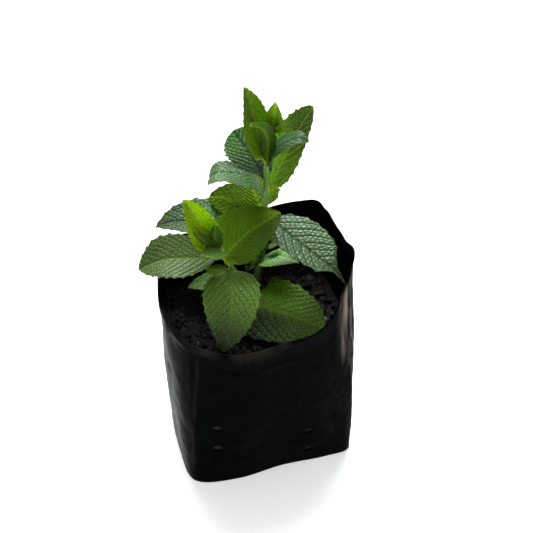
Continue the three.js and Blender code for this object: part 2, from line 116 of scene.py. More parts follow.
def rough_noise(x: Array, y: Array, layers: int = 3) -> Array:
    """Noise with finer and finer layers on top of each other.

    Args:
        x: Places along one axis.
        y: Places along the other.
        layers: How many layers there are, each about half as coarse and half as strong as the last.

    Returns:
        A value from about -1 to 1 for each point.
    """
    finer, weaker, whole = 2.03, 0.55, 1.6
    total = np.zeros(np.broadcast(x, y).shape)
    for k in range(layers):
        total = total + noise(x * finer**k + 17 * k, y * finer**k - 9 * k) * weaker**k
    return total / whole


def cells(x: Array, y: Array, jitter: float = 0.34) -> tuple[Array, Array]:
    """Staggered, uneven cells of about one unit in a plane.

    Args:
        x: Places along the rows of cells.
        y: Places across the rows.
        jitter: How far a cell's middle may stray from its regular place.

    Returns:
        How far each place is from its cell's border, from 0 to about 0.6, and a slope from about
        -0.5 to 0.5 that tips each cell its own way.
    """
    i, j = np.floor(x), np.floor(y)
    first = np.full(x.shape, 9.0)
    second = np.full(x.shape, 9.0)
    tip = np.zeros(x.shape)
    for dj in (-1, 0, 1):
        row = j + dj
        shift = 0.5 * np.mod(row, 2)
        for di in (-2, -1, 0, 1, 2):
            column = i + di
            px = column + 0.5 + shift + jitter * (hashed(column, row) * 2 - 1)
            py = row + 0.5 + jitter * (hashed(column + 57, row + 31) * 2 - 1)
            d = np.hypot(x - px, y - py)
            way = hashed(column + 11, row + 5) * 2 * np.pi
            tip = np.where(d < first, (x - px) * np.cos(way) + (y - py) * np.sin(way), tip)
            second = np.minimum(second, np.maximum(first, d))
            first = np.minimum(first, d)
    return second - first, tip


def closed_curve(keys: Array, t: Array) -> Array:
    """Points on a smooth closed curve through key points.

    Args:
        keys: The key points, one a row.
        t: Places round the curve, counted in keys.

    Returns:
        One point for each t, along a new last axis.
    """
    count = len(keys)
    first = np.floor(t).astype(int)
    w = (t - first)[..., None]
    a, b, c, d = (keys[(first + k) % count] for k in (-1, 0, 1, 2))
    slope = (c - a) * w
    bend = (2 * a - 5 * b + 4 * c - d) * w**2
    twist = (3 * b - a - 3 * c + d) * w**3
    return 0.5 * (2 * b + slope + bend + twist)


def open_curve(points: Array, steps: int = 240) -> Array:
    """A smooth open curve through points.

    Args:
        points: The points that it passes, one a row.
        steps: How many places are wanted.

    Returns:
        Places at even steps along the curve, one a row.
    """
    ends = np.concatenate([[2 * points[0] - points[1]], points, [2 * points[-1] - points[-2]]])
    t = np.linspace(0, len(points) - 1 - 1e-6, 40 * len(points))
    first = t.astype(int)
    w = (t - first)[:, None]
    a, b, c, d = (ends[first + k] for k in range(4))
    line = 0.5 * (2 * b + (c - a) * w + (2 * a - 5 * b + 4 * c - d) * w**2 + (3 * b - a - 3 * c + d) * w**3)
    way = np.concatenate([[0], np.cumsum(np.linalg.norm(np.diff(line, axis=0), axis=1))])
    even = np.linspace(0, way[-1], steps)
    return np.stack([np.interp(even, way, line[:, k]) for k in range(3)], -1)


# Meshes

def start_clean() -> None:
    """Leaves object mode's selection empty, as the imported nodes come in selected."""
    if bpy.context.mode != "OBJECT":
        bpy.ops.object.mode_set(mode="OBJECT")
    bpy.ops.object.select_all(action="DESELECT")


def take(obj: bpy.types.Object) -> None:
    """Makes one object the only selected and the active one.

    Args:
        obj: The object.
    """
    start_clean()
    obj.select_set(True)
    bpy.context.view_layer.objects.active = obj


def grid(name: str, points: Array) -> bpy.types.Object:
    """A grid primitive whose vertices are moved to given places.

    Args:
        name: The object's name.
        points: Places in millimetres, as rows by columns by 3.

    Returns:
        The object, at the origin, with its place in its mesh. Its faces look towards the cross
        product of the row's direction and the column's.
    """
    start_clean()
    rows, columns = points.shape[:2]
    bpy.ops.mesh.primitive_grid_add(x_subdivisions=columns - 1, y_subdivisions=rows - 1, size=1)
    obj = bpy.context.active_object
    obj.name = obj.data.name = name
    obj.data.vertices.foreach_set("co", (points * MM).astype(np.float32).ravel())
    obj.data.update()
    return obj


def tube(name: str, points: Array) -> bpy.types.Object:
    """A grid that is closed round its columns, with what coincides merged.

    Args:
        name: The object's name.
        points: Places in millimetres, as rows by columns by 3, without the seam's second column.

    Returns:
        The object, with faces that look outwards where the columns run anticlockwise seen from
        the far end of the rows.
    """
    obj = grid(name, np.concatenate([points, points[:, :1]], axis=1))
    take(obj)
    bpy.ops.object.mode_set(mode="EDIT")
    bpy.ops.mesh.select_all(action="SELECT")
    bpy.ops.mesh.remove_doubles(threshold=1e-6)
    bpy.ops.object.mode_set(mode="OBJECT")
    return obj


def places_of(obj: bpy.types.Object) -> Array:
    """The places of an object's vertices.

    Args:
        obj: The object.

    Returns:
        The places in millimetres, one a row.
    """
    flat = np.zeros(len(obj.data.vertices) * 3)
    obj.data.vertices.foreach_get("co", flat)
    return flat.reshape(-1, 3) / MM


def turn_round(obj: bpy.types.Object) -> None:
    """Turns every face of an object to look the other way.

    Args:
        obj: The object.
    """
    take(obj)
    bpy.ops.object.mode_set(mode="EDIT")
    bpy.ops.mesh.select_all(action="SELECT")
    bpy.ops.mesh.flip_normals()
    bpy.ops.object.mode_set(mode="OBJECT")


def outward(obj: bpy.types.Object) -> None:
    """Turns the faces of a closed shape outwards, so that it encloses a volume above 0.

    Args:
        obj: The shape, with its doubles merged.
    """
    take(obj)
    bpy.ops.object.mode_set(mode="EDIT")
    bpy.ops.mesh.select_all(action="SELECT")
    bpy.ops.mesh.normals_make_consistent(inside=False)
    bpy.ops.object.mode_set(mode="OBJECT")
    mesh = obj.data
    mesh.calc_loop_triangles()
    corners = np.zeros(len(mesh.loop_triangles) * 3, int)
    mesh.loop_triangles.foreach_get("vertices", corners)
    a, b, c = places_of(obj)[corners.reshape(-1, 3)].transpose(1, 0, 2)
    if (a * np.cross(b, c)).sum() < 0:
        turn_round(obj)


def sheet_outward(obj: bpy.types.Object) -> None:
    """Turns the faces of an open sheet away from its own middle.

    Args:
        obj: The sheet, such as a wall without thickness.
    """
    count = len(obj.data.polygons)
    centres, normals = np.zeros(count * 3), np.zeros(count * 3)
    obj.data.polygons.foreach_get("center", centres)
    obj.data.polygons.foreach_get("normal", normals)
    centres, normals = centres.reshape(-1, 3), normals.reshape(-1, 3)
    if ((centres - centres.mean(0)) * normals).sum() < 0:
        turn_round(obj)


def mark(obj: bpy.types.Object, name: str, values: Array) -> None:
    """Stores one number for each vertex under a name that materials read."""
    layer = obj.data.attributes.new(name, "FLOAT", "POINT")
    layer.data.foreach_set("value", values.astype(np.float32).ravel())


def thicken(obj: bpy.types.Object, most: float, offset: float, share: Array | None = None) -> None:
    """Gives a sheet its thickness.

    Args:
        obj: The sheet.
        most: Thickness in millimetres where share is 1.
        offset: -1 puts it all behind the sheet, 0 half on each side.
        share: The thickness of each vertex as a share of most, or None for an even sheet.
    """
    take(obj)
    bpy.ops.object.modifier_add(type="SOLIDIFY")
    modifier = obj.modifiers[-1]
    modifier.thickness = most * MM
    modifier.offset = offset
    if share is not None:
        group = obj.vertex_groups.new(name="thickness")
        levels = np.round(share.ravel() * 60) / 60
        for level in np.unique(levels):
            group.add(np.flatnonzero(levels == level).tolist(), float(level), "REPLACE")
        modifier.vertex_group = group.name
        modifier.thickness_vertex_group = 0.0
    bpy.ops.object.modifier_apply(modifier=modifier.name)
    obj.vertex_groups.clear()


def join(pieces: Sequence[bpy.types.Object]) -> bpy.types.Object:
    """Joins objects.

    Args:
        pieces: The objects. The first one takes up the others.

    Returns:
        The first one.
    """
    take(pieces[0])
    for piece in pieces[1:]:
        piece.select_set(True)
    bpy.ops.object.join()
    return pieces[0]


def shade(obj: bpy.types.Object) -> None:
    """Shades a piece smooth."""
    take(obj)
    bpy.ops.object.shade_smooth()


def copies(name: str, seed: bpy.types.Object, places: Array, tones: Array) -> bpy.types.Object:
    """Many copies of one small shape, joined in one mesh. The seed shape is removed.

    Args:
        name: The new object's name.
        seed: The shape, modelled round the origin in millimetres times MM.
        places: A 4 by 4 matrix for each copy, in millimetres.
        tones: A number for each copy, stored on its vertices as tone.

    Returns:
        The object that holds all copies.
    """
    count = len(seed.data.vertices)
    shape = np.c_[places_of(seed), np.ones(count)]
    faces = [tuple(p.vertices) for p in seed.data.polygons]
    verts = np.einsum("nij,vj->nvi", places, shape)[..., :3].reshape(-1, 3) * MM
    corners = np.array([i for f in faces for i in f])
    every = (corners[None, :] + np.arange(len(places))[:, None] * count).ravel()
    sizes = np.tile([len(f) for f in faces], len(places))
    starts = np.concatenate([[0], np.cumsum(sizes)[:-1]])
    mesh = bpy.data.meshes.new(name)
    mesh.vertices.add(len(verts))
    mesh.vertices.foreach_set("co", verts.astype(np.float32).ravel())
    mesh.loops.add(len(every))
    mesh.loops.foreach_set("vertex_index", every.astype(np.int32))
    mesh.polygons.add(len(starts))
    mesh.polygons.foreach_set("loop_start", starts.astype(np.int32))
    mesh.update(calc_edges=True)
    mesh.validate()
    obj = bpy.data.objects.new(name, mesh)
    bpy.context.scene.collection.objects.link(obj)
    mark(obj, "tone", np.repeat(tones, count))
    bpy.data.objects.remove(seed)
    return obj


def placed(at: Array, along: Array, size: Array, turn: Array) -> Array:
    """Matrices that put a shape's +Z along a direction.

    Args:
        at: Places, one a row.
        along: Directions for the shape's +Z, one a row.
        size: Sizes along the shape's own X, Y and Z, one a row.
        turn: Angles round the direction.

    Returns:
        A 4 by 4 matrix for each row.
    """
    z = unit(along)
    other = np.where(np.abs(z[:, 2:3]) > 0.9, [[1.0, 0.0, 0.0]], [[0.0, 0.0, 1.0]])
    a = unit(np.cross(other, z))
    b = np.cross(z, a)
    c, s = np.cos(turn)[:, None], np.sin(turn)[:, None]
    matrix = np.zeros((len(at), 4, 4))
    matrix[:, :3, 0] = (a * c + b * s) * size[:, 0:1]
    matrix[:, :3, 1] = (b * c - a * s) * size[:, 1:2]
    matrix[:, :3, 2] = z * size[:, 2:3]
    matrix[:, :3, 3] = at
    matrix[:, 3, 3] = 1
    return matrix


# Materials

Colour: TypeAlias = tuple[float, float, float]
Value: TypeAlias = "Signal | float"


class Signal:
    """A shader socket whose arithmetic adds Math nodes."""

    def __init__(self, graph: Graph, socket: bpy.types.NodeSocket) -> None:
        """Wraps a socket of a graph."""
        self.graph = graph
        self.socket = socket

    def _math(self, operation: str, *values: Value) -> Signal:
        """A Math node on the given values."""
        inputs = dict(enumerate(values))
        return self.graph.node("ShaderNodeMath", {"operation": operation}, inputs)

    def __add__(self, other: Value) -> Signal:
        """The sum."""
        return self._math("ADD", self, other)

    def __radd__(self, other: Value) -> Signal:
        """The sum, with the socket on the right."""
        return self._math("ADD", other, self)

    def __sub__(self, other: Value) -> Signal:
        """The difference."""
        return self._math("SUBTRACT", self, other)

    def __rsub__(self, other: Value) -> Signal:
        """The difference, with the socket on the right."""
        return self._math("SUBTRACT", other, self)

    def __mul__(self, other: Value) -> Signal:
        """The product."""
        return self._math("MULTIPLY", self, other)

    def __rmul__(self, other: Value) -> Signal:
        """The product, with the socket on the right."""
        return self._math("MULTIPLY", other, self)

    def between(self, low: float, high: float) -> Signal:
        """A soft step from 0 at low to 1 at high."""
        values = {"Value": self, "From Min": low, "From Max": high}
        return self.graph.node("ShaderNodeMapRange", {"interpolation_type": "SMOOTHSTEP"}, values)


class Graph:
    """The node tree of one material."""

    def __init__(self, name: str) -> None:
        """Makes an empty material with a surface output.

        Args:
            name: The material's name.
        """
        self.material = bpy.data.materials.new(name)
        self.material.use_nodes = True
        self.tree = self.material.node_tree
        self.tree.nodes.clear()
        self.output = self.tree.nodes.new("ShaderNodeOutputMaterial")

    def node(self, kind: str, settings: dict, inputs: dict, out: str | int = 0) -> Signal:
        """Adds a node.

        Args:
            kind: The node's type.
            settings: Its properties, set before its sockets.
            inputs: Values or signals for its input sockets, by name or number.
            out: The output socket that is wanted.

        Returns:
            That output.
        """
        made = self.tree.nodes.new(kind)
        stops = settings.pop("stops", None)
        for key, value in settings.items():
            setattr(made, key, value)
        if stops:
            ramp = made.color_ramp.elements
            while len(ramp) < len(stops):
                ramp.new(1.0)
            for element, (place, colour) in zip(ramp, stops):
                element.position = place
                element.color = (*colour, 1.0)
        for key, value in inputs.items():
            if isinstance(value, Signal):
                self.tree.links.new(value.socket, made.inputs[key])
            elif isinstance(value, tuple) and len(value) == 3 and made.inputs[key].type == "RGBA":
                made.inputs[key].default_value = (*value, 1.0)
            else:
                made.inputs[key].default_value = value
        return Signal(self, made.outputs[out])

    def place(self, turned: tuple = (0.0, 0.0, 0.0), stretch: tuple = (1.0, 1.0, 1.0)) -> Signal:
        """Object coordinates in metres, turned and stretched by a Mapping node."""
        spot = self.node("ShaderNodeTexCoord", {}, {}, "Object")
        return self.node("ShaderNodeMapping", {}, {"Vector": spot, "Rotation": turned, "Scale": stretch})

    def noise(self, scale: float, detail: float = 3.0, rough: float = 0.55,
              at: Signal | None = None) -> Signal:
        """Noise from 0 to 1 on object coordinates, with scale in waves a metre."""
        values = {"Vector": at or self.place(), "Scale": scale, "Detail": detail, "Roughness": rough}
        return self.node("ShaderNodeTexNoise", {}, values, "Fac")

    def wrinkles(self, scale: float) -> Signal:
        """Height of a net of fine grooves.

        Args:
            scale: How many cells there are in a metre.

        Returns:
            A height from 0 in a groove to 1 in a cell.
        """
        values = {"Vector": self.place(), "Scale": scale}
        edge = self.node("ShaderNodeTexVoronoi", {"feature": "DISTANCE_TO_EDGE"}, values, "Distance")
        return edge.between(0.0, 0.22)

    def attribute(self, name: str) -> Signal:
        """A number stored on the mesh."""
        settings = {"attribute_type": "GEOMETRY", "attribute_name": name}
        return self.node("ShaderNodeAttribute", settings, {}, "Fac")

    def mix(self, share: Value, a: Signal | Colour, b: Signal | Colour) -> Signal:
        """A colour a share of the way from one colour to another."""
        settings = {"data_type": "RGBA", "blend_type": "MIX", "clamp_factor": True}
        return self.node("ShaderNodeMix", settings, {0: share, 6: a, 7: b}, 2)

    def scale(self, colour: Signal, by: Signal) -> Signal:
        """A colour made lighter or darker by a number."""
        return self.node("ShaderNodeVectorMath", {"operation": "SCALE"}, {0: colour, 3: by})

    def ramp(self, share: Signal, stops: list[tuple]) -> Signal:
        """A colour from a ramp."""
        return self.node("ShaderNodeValToRGB", {"stops": stops}, {"Fac": share}, "Color")

    def bump(self, height: Signal, deep: float, strength: float = 1.0,
             under: Signal | None = None) -> Signal:
        """A bumped normal.

        Args:
            height: The relief, from 0 to 1.
            deep: How deep it is, in millimetres.
            strength: How much of it shows.
            under: The normal that it lies on, or None for the mesh's own.

        Returns:
            The normal.
        """
        values = {"Height": height, "Distance": deep * MM, "Strength": strength}
        if under is not None:
            values["Normal"] = under
        return self.node("ShaderNodeBump", {}, values, "Normal")

    def surface(self, **sockets: Value) -> bpy.types.Material:
        """Ends the graph with a Principled shader.

        Args:
            **sockets: Its inputs by name, with underscores for spaces.

        Returns:
            The finished material.
        """
        named = {key.replace("_", " "): value for key, value in sockets.items()}
        shader = self.node("ShaderNodeBsdfPrincipled", {}, named)
        self.tree.links.new(shader.socket, self.output.inputs["Surface"])
        return self.material


@dataclass(frozen=True)
class LeafFinish:
    """A mint leaf: raised fields with a soft sheen over a darker net of veins, glowing where lit through.
    The net, and the old leaves' dark midrib, are partly the veins' own colour and partly painted shade in
    the grooves.
    """

    name: str
    field_colour: Colour
    vein_and_groove_shade_colour: Colour
    rib_colour: Colour
    sheen: float
    specular: float
    gloss: float = 0.36

    def material(self) -> bpy.types.Material:
        """Builds the material.

        Returns:
            The new material.
        """
        g = Graph(self.name)
        net = g.attribute("net")
        rib = g.attribute("rib")
        patches = g.noise(55, 4.0).between(0.3, 0.7)
        grain = g.noise(1500, 2.0, 0.6)
        field_ = g.mix(patches * 0.5, self.field_colour, tuple(c * 0.72 for c in self.field_colour))
        # Painted shade: the net darkens the grooves of the quilt and the side veins with the vein colour, on
        # top of the veins' own darker green.
        blade = g.mix(net, self.vein_and_groove_shade_colour, field_)
        blade = g.mix(rib * 0.9, blade, self.rib_colour)
        blade = g.mix((grain - 0.5) * 0.5 + 0.15, blade, tuple(c * 0.55 for c in self.field_colour))
        # On leaves the tone is painted light and shade: it lightens the parts that glow with light coming
        # through and darkens the parts in shade.
        blade = g.scale(blade, g.attribute("tone"))
        rough = (1 - net) * 0.6 + rib * 0.3 + grain * 0.1 + g.attribute("matt") * 0.4
        normal = g.bump(g.wrinkles(780), 0.1, 0.3)
        normal = g.bump(g.noise(2600, 2.0, 0.7), 0.07, 0.6, normal)
        return g.surface(
            Base_Color=blade,
            Roughness=rough + (self.gloss - 0.05),
            Normal=normal,
            Subsurface_Weight=0.9,
            Subsurface_Radius=(1.0, 1.0, 0.3),
            Subsurface_Scale=0.7 * MM,
            Specular_IOR_Level=self.specular,
            Sheen_Weight=self.sheen,
            Sheen_Roughness=0.45,
            Sheen_Tint=(0.82, 0.95, 0.9),
        )


class Age(Enum):
    """How old a leaf is, which sets its finish. The finishes are lighter and darker, and a leaf may take a
    lighter or darker one than its age to paint the light that comes through it or the shade that falls on
    it.
    """

    OLD = LeafFinish(
        "mint_leaf_old", (0.07, 0.2, 0.022), (0.006, 0.034, 0.002), (0.007, 0.04, 0.003), 0.06, 0.66)
    FULL = LeafFinish(
        "mint_leaf_full", (0.1, 0.21, 0.006), (0.018, 0.06, 0.002), (0.14, 0.28, 0.02), 0.07, 0.5)
    TENDER = LeafFinish(
        "mint_leaf_tender", (0.15, 0.3, 0.003), (0.03, 0.09, 0.002), (0.3, 0.5, 0.02), 0.0, 0.1)
    GROWN = LeafFinish(
        "mint_leaf_grown", (0.2, 0.4, 0.004), (0.03, 0.09, 0.002), (0.36, 0.56, 0.03), 0.0, 0.25)
    YOUNG = LeafFinish(
        "mint_leaf_young", (0.45, 0.76, 0.004), (0.1, 0.22, 0.003), (0.55, 0.75, 0.03), 0.0, 0.12)
    # Painted light: a pale, bluish field colour that lightens small leaves lying in shade and stands for
    # their whitish sheen.
    DOWNY = LeafFinish(
        "mint_leaf_downy_painted_light", (0.3, 0.56, 0.15), (0.03, 0.1, 0.015), (0.42, 0.62, 0.3), 0.08, 0.5)
    # Painted sheen: a bluish field colour that stands for the cool sheen of light reflected off the leaf.
    FROSTED = LeafFinish(
        "mint_leaf_frosted_painted_sheen", (0.13, 0.28, 0.08), (0.01, 0.045, 0.006), (0.01, 0.05, 0.008), 0.07, 0.66)
    SHADED = LeafFinish(
        "mint_leaf_shaded", (0.13, 0.28, 0.006), (0.02, 0.07, 0.002), (0.2, 0.36, 0.02), 0.0, 0.26)
    BUD = LeafFinish("mint_bud", (0.05, 0.115, 0.004), (0.018, 0.055, 0.003), (0.09, 0.18, 0.01), 0.0, 0.1)


@dataclass(frozen=True)
class StemFinish:
    """A pale green stem with darker lengthwise streaks and blotches, and a faint sheen of hairs."""

    name: str = "mint_stem_skin"
    slot: str = "mint_stem"
    pale: Colour = (0.34, 0.56, 0.1)
    dark: Colour = (0.15, 0.31, 0.05)

    def material(self) -> bpy.types.Material:
        """Builds the material.

        Returns:
            The new material.
        """
        g = Graph(self.name)
        streaks = g.noise(900, 3.0, 0.6, g.place(stretch=(1.0, 1.0, 0.08)))
        blotches = g.noise(140, 2.0)
        skin = g.mix(streaks.between(0.35, 0.7), self.dark, self.pale)
        skin = g.mix(blotches.between(0.5, 0.8) * 0.5, skin, self.dark)
        return g.surface(
            Base_Color=skin,
            Roughness=streaks * 0.15 + 0.4,
            Normal=g.bump(streaks, 0.1, 0.5),
            Subsurface_Weight=0.6,
            Subsurface_Radius=(0.9, 1.0, 0.4),
            Subsurface_Scale=1.2 * MM,
            Sheen_Weight=0.2,
            Sheen_Tint=(0.9, 1.0, 0.9),
        )


@dataclass(frozen=True)
class SoilFinish:
    """Moist potting mix, mostly near black, with lighter brown and grey crumbs and specks at random, or what
    lies in it.
    """

    name: str
    dark: Colour = (0.003, 0.0027, 0.0024)
    middle: Colour = (0.02, 0.016, 0.012)
    pale: Colour = (0.15, 0.115, 0.085)
    dry: float = 0.62
    slot: str = "potting_soil"

    def material(self) -> bpy.types.Material:
        """Builds the material.

        Returns:
            The new material.
        """
        g = Graph(self.name)
        tone = g.attribute("tone")
        grain = g.noise(900, 4.0, 0.7)
        share = tone * 0.7 + (grain - 0.5) * 0.9 + 0.12
        return g.surface(
            Base_Color=g.ramp(share, [(0.0, self.dark), (0.6, self.middle), (1.0, self.pale)]),
            Roughness=grain * 0.35 + (self.dry - 0.12),
            Normal=g.bump(grain, 0.5, 0.9),
            Specular_IOR_Level=0.3,
        )


@dataclass(frozen=True)
class FilmFinish:
    """Thin glossy black polythene, with fine handling wrinkles, a trace of dust and pale painted highlights
    where the film catches the light.
    """

    name: str = "black_polythene"
    slot: str = "bag_film"
    black: Colour = (0.001, 0.0012, 0.0014)
    dust: Colour = (0.0035, 0.0035, 0.0034)
    # The colour of the painted highlights on the pleat, the lip and the crease.
    painted_glint: Colour = (0.28, 0.23, 0.19)

    def material(self) -> bpy.types.Material:
        """Builds the material.

        Returns:
            The new material.
        """
        g = Graph(self.name)
        long_ = g.noise(70, 4.0, 0.6, g.place((0.0, 0.5, 0.3), (1.0, 1.0, 0.35)))
        fine = g.noise(420, 3.0, 0.6)
        film = g.mix(fine.between(0.5, 0.85) * long_.between(0.35, 0.7), self.black, self.dust)
        # Painted highlights: the marked streaks are mixed to a pale brownish colour that stands for light
        # caught by the film.
        film = g.mix(g.attribute("painted_glint"), film, self.painted_glint)
        normal = g.bump(long_, 1.1, 0.55)
        normal = g.bump(fine, 0.16, 0.5, normal)
        return g.surface(
            Base_Color=film,
            Roughness=fine * 0.14 + long_ * 0.16 + 0.16,
            Normal=normal,
            Specular_IOR_Level=0.011,
        )


@dataclass(frozen=True)
class HairFinish:
    """Pale, half clear plant hairs."""

    name: str = "stem_hair"

    def material(self) -> bpy.types.Material:
        """Builds the material.

        Returns:
            The new material.
        """
        g = Graph(self.name)
        tint = g.mix(g.noise(300), (0.5, 0.62, 0.42), (0.72, 0.8, 0.66))
        return g.surface(Base_Color=tint, Roughness=0.5, Subsurface_Weight=0.5, Subsurface_Scale=0.1 * MM)


Finish: TypeAlias = LeafFinish | StemFinish | SoilFinish | FilmFinish | HairFinish


@cache
def material_of(finish: Finish) -> bpy.types.Material:
    """The one material of a finish, built when it is first asked for."""
    return finish.material()


# The bag

@dataclass(frozen=True)
class Crease:
    """A ridge or a groove in the film along a straight line on the wall.

    start and end are a place round the bag in keys and a height in millimetres. rise is how far it
    stands out, below 0 for a groove, and half is half its width in millimetres.
    """

    start: tuple[float, float]
    end: tuple[float, float]
    rise: float
    half: float


BASE_KEYS = np.array([
    [53.5, -37.5], [54, -15], [54, 5], [52, 24], [47, 37], [28, 41], [4, 41], [-20, 40], [-42, 35],
    [-48, 16], [-50.4, -8], [-48, -36], [-22, -42.5], [8, -39.8], [36, -40.6],
], float)
RIM_KEYS = np.array([
    [53.5, -29, 149.5], [54, -12, 150.5], [54, 6, 148.5], [53.8, 24, 147], [50.5, 38, 143.5],
    [29, 42.5, 140.5], [3, 43, 136.5], [-23, 42, 133], [-45, 35, 134], [-53, 13, 129],
    [-54.8, -9, 118], [-46, -29, 110], [-23, -43, 106], [7, -43, 107], [35, -40, 113],
], float)


@dataclass
class GrowBag:
    """The black film bag: a filled wall, a free wavy rim with a lip rolled out at one side, drain holes.

    bulge is how far the filled wall bellies out and bulge_top the share of its height that it does so
    on. wrinkle is the depth of its soft folds and film its thickness. columns and levels are the
    mesh's own. lip_roll and lip_drop are the rolled lip's radius and the length of its loose edge.
    drain_holes are the holes' middles as x and z, and hole_half half their width and height. key_step
    is the usual distance from key to key. creases are the film's sharp folds.
    """

    bulge: float = 1.6
    bulge_top: float = 0.87
    wrinkle: float = 0.5
    film: float = 0.3
    columns: int = 240
    levels: int = 100
    lip_roll: float = 1.0
    lip_drop: float = 3.4
    hole_half: tuple[float, float] = (3.0, 2.2)
    drain_holes: tuple[tuple[float, float], ...] = (
        (24.5, 11.0), (24.5, 28.0), (-34.0, 30.0), (-34.0, 47.0),
    )
    key_step: float = 20.0
    creases: tuple[Crease, ...] = field(default_factory=lambda: (
        Crease((11.15, 8), (11.0, 104), 0.9, 1.6),
        Crease((11.3, 4), (11.5, 60), -0.5, 3.0),
        Crease((14.75, 70), (14.7, 149), 1.5, 1.6),
        Crease((14.45, 76), (14.5, 142), -1.3, 2.2),
        Crease((14.25, 84), (14.3, 132), 1.0, 1.5),
        Crease((15.0, 10), (14.75, 80), 0.6, 1.4),
        Crease((14.5, 52), (13.6, 84), 1.0, 2.0),
        Crease((14.3, 30), (13.4, 74), -1.0, 2.6),
        Crease((14.1, 24), (12.9, 62), 0.8, 2.2),
        Crease((14.4, 40), (13.9, 66), 0.7, 1.4),
        Crease((12.2, 88), (13.4, 92), 0.8, 1.8),
        Crease((11.6, 96), (12.6, 88), -0.9, 2.0),
        Crease((11.4, 70), (12.4, 97), 0.8, 2.0),
        Crease((12.3, 20), (12.7, 44), -0.5, 3.5),
    ))

    def wall(self, t: Array, s: Array) -> Array:
        """Points of the plain outer wall.

        Args:
            t: How far round the bag they are, counted in keys.
            s: How far up the wall they are, as a share of its height there.

        Returns:
            A point in millimetres for each pair.
        """
        base, rim = closed_curve(BASE_KEYS, t), closed_curve(RIM_KEYS, t)
        out = unit(base)
        belly = self.bulge * np.maximum(0, np.sin(np.pi * np.minimum(1, s / self.bulge_top))) ** 0.8
        fold = self.wrinkle * noise(t * 1.7, s * 5) * np.sin(np.pi * s)
        flat = lerp(base, rim[..., :2], s[..., None]) + out * (belly + fold)[..., None]
        return np.concatenate([flat, (rim[..., 2] * s)[..., None]], axis=-1)

    def inside(self, t: Array, s: Array, inset: float) -> Array:
        """Points of the wall, moved inwards.

        Args:
            t: How far round the bag they are, counted in keys.
            s: How far up the wall they are, as a share of its height there.
            inset: How far inwards, in millimetres.

        Returns:
            A point in millimetres for each pair.
        """
        step = 0.34
        here = self.wall(t, s)
        one = unit((here - self.wall(t - step + len(BASE_KEYS), s))[..., :2])
        two = unit((self.wall(t + step, s) - here)[..., :2])
        along = unit(one + two)
        mitre = inset / np.maximum(0.6, (along * one).sum(-1))
        moved = here.copy()
        moved[..., 0] -= along[..., 1] * mitre
        moved[..., 1] += along[..., 0] * mitre
        return moved

    def relief(self, t: Array, z: Array) -> Array:
        """How far the film's creases, folds and wrinkles stand out.

        Args:
            t: How far round the bag the places are, counted in keys.
            z: How high they are, in millimetres.

        Returns:
            Millimetres for each place, below 0 where the film is drawn in.
        """
        count = len(BASE_KEYS)
        rise = 0.55 * rough_noise(t * 1.3 + 5, z / 17) + 0.28 * rough_noise(t * 5.1, z / 6 + 3)
        rise = rise + 0.35 * noise(t * 0.9 + z / 30, z / 40 - t * 0.6)
        for crease in self.creases:
            t0, z0 = crease.start
            t1, z1 = crease.end
            x = (np.mod(t - t0 + count / 2, count) - count / 2) * self.key_step
            dx, dz = (t1 - t0) * self.key_step, z1 - z0
            w = np.clip((x * dx + (z - z0) * dz) / (dx * dx + dz * dz), 0, 1)
            away = np.hypot(x - dx * w, z - z0 - dz * w)
            ends = np.clip(np.minimum(w, 1 - w) * 5 + 0.25, 0, 1)
            rise = rise + crease.rise * np.exp(-np.abs(away / crease.half) ** 1.5) * ends
        return rise

    def lip_size(self, t: Array) -> Array:
        """How far the rim is rolled out at t: 1 at the front left, 0 where the film is cut off plainly."""
        return smooth(9.0, 10.2, t) * (1 - smooth(12.6, 14.2, t))

    def shell(self) -> bpy.types.Object:
        """The film as one sheet with its base, before it has thickness and drain holes.

        Returns:
            The sheet, open at the rim's loose edge.
        """
        round_ = np.arange(self.columns) / self.columns * len(BASE_KEYS)
        rows = self.floor_rows(round_) + self.wall_rows(round_)
        rows += self.lip_rows(round_, rows[-1])
        return tube("grow_bag_film", np.array(rows))

    def floor_rows(self, round_: Array) -> list[Array]:
        """Rings of the bag's base, from its middle out, each lifted a little off the ground.

        Args:
            round_: The columns' places round the bag, counted in keys.

        Returns:
            The rings' points.
        """
        rows = []
        for share in (0.0, 0.25, 0.5, 0.72, 0.9):
            floor = self.wall(round_, np.zeros_like(round_))
            floor[..., :2] *= share
            floor[..., 2] = 0.35 * share * (1 - share) * (1 + noise(round_ * 3, share * 9))
            rows.append(floor)
        return rows

    def wall_rows(self, round_: Array) -> list[Array]:
        """Rings of the wall with its relief, which fades at the base and eases at the rim.

        Args:
            round_: The columns' places round the bag, counted in keys.

        Returns:
            The rings' points, from the base to the rim.
        """
        rows = []
        for s in np.linspace(0, 1, self.levels) ** 0.96:
            here = self.wall(round_, np.full_like(round_, s))
            ahead = self.wall(round_ + 0.05, np.full_like(round_, s))
            side = unit((ahead - here)[..., :2])
            out = np.stack([side[..., 1], -side[..., 0]], -1)
            z = here[..., 2]
            fade = smooth(0.0, 6.0, z)
            here[..., :2] += out * (self.relief(round_, z) * fade * 0.8 * (1 - 0.6 * s**8))[..., None]
            here[..., 2] += 0.4 * s**12 * noise(round_ * 2.3, 4.0)
            rows.append(here)
        return rows

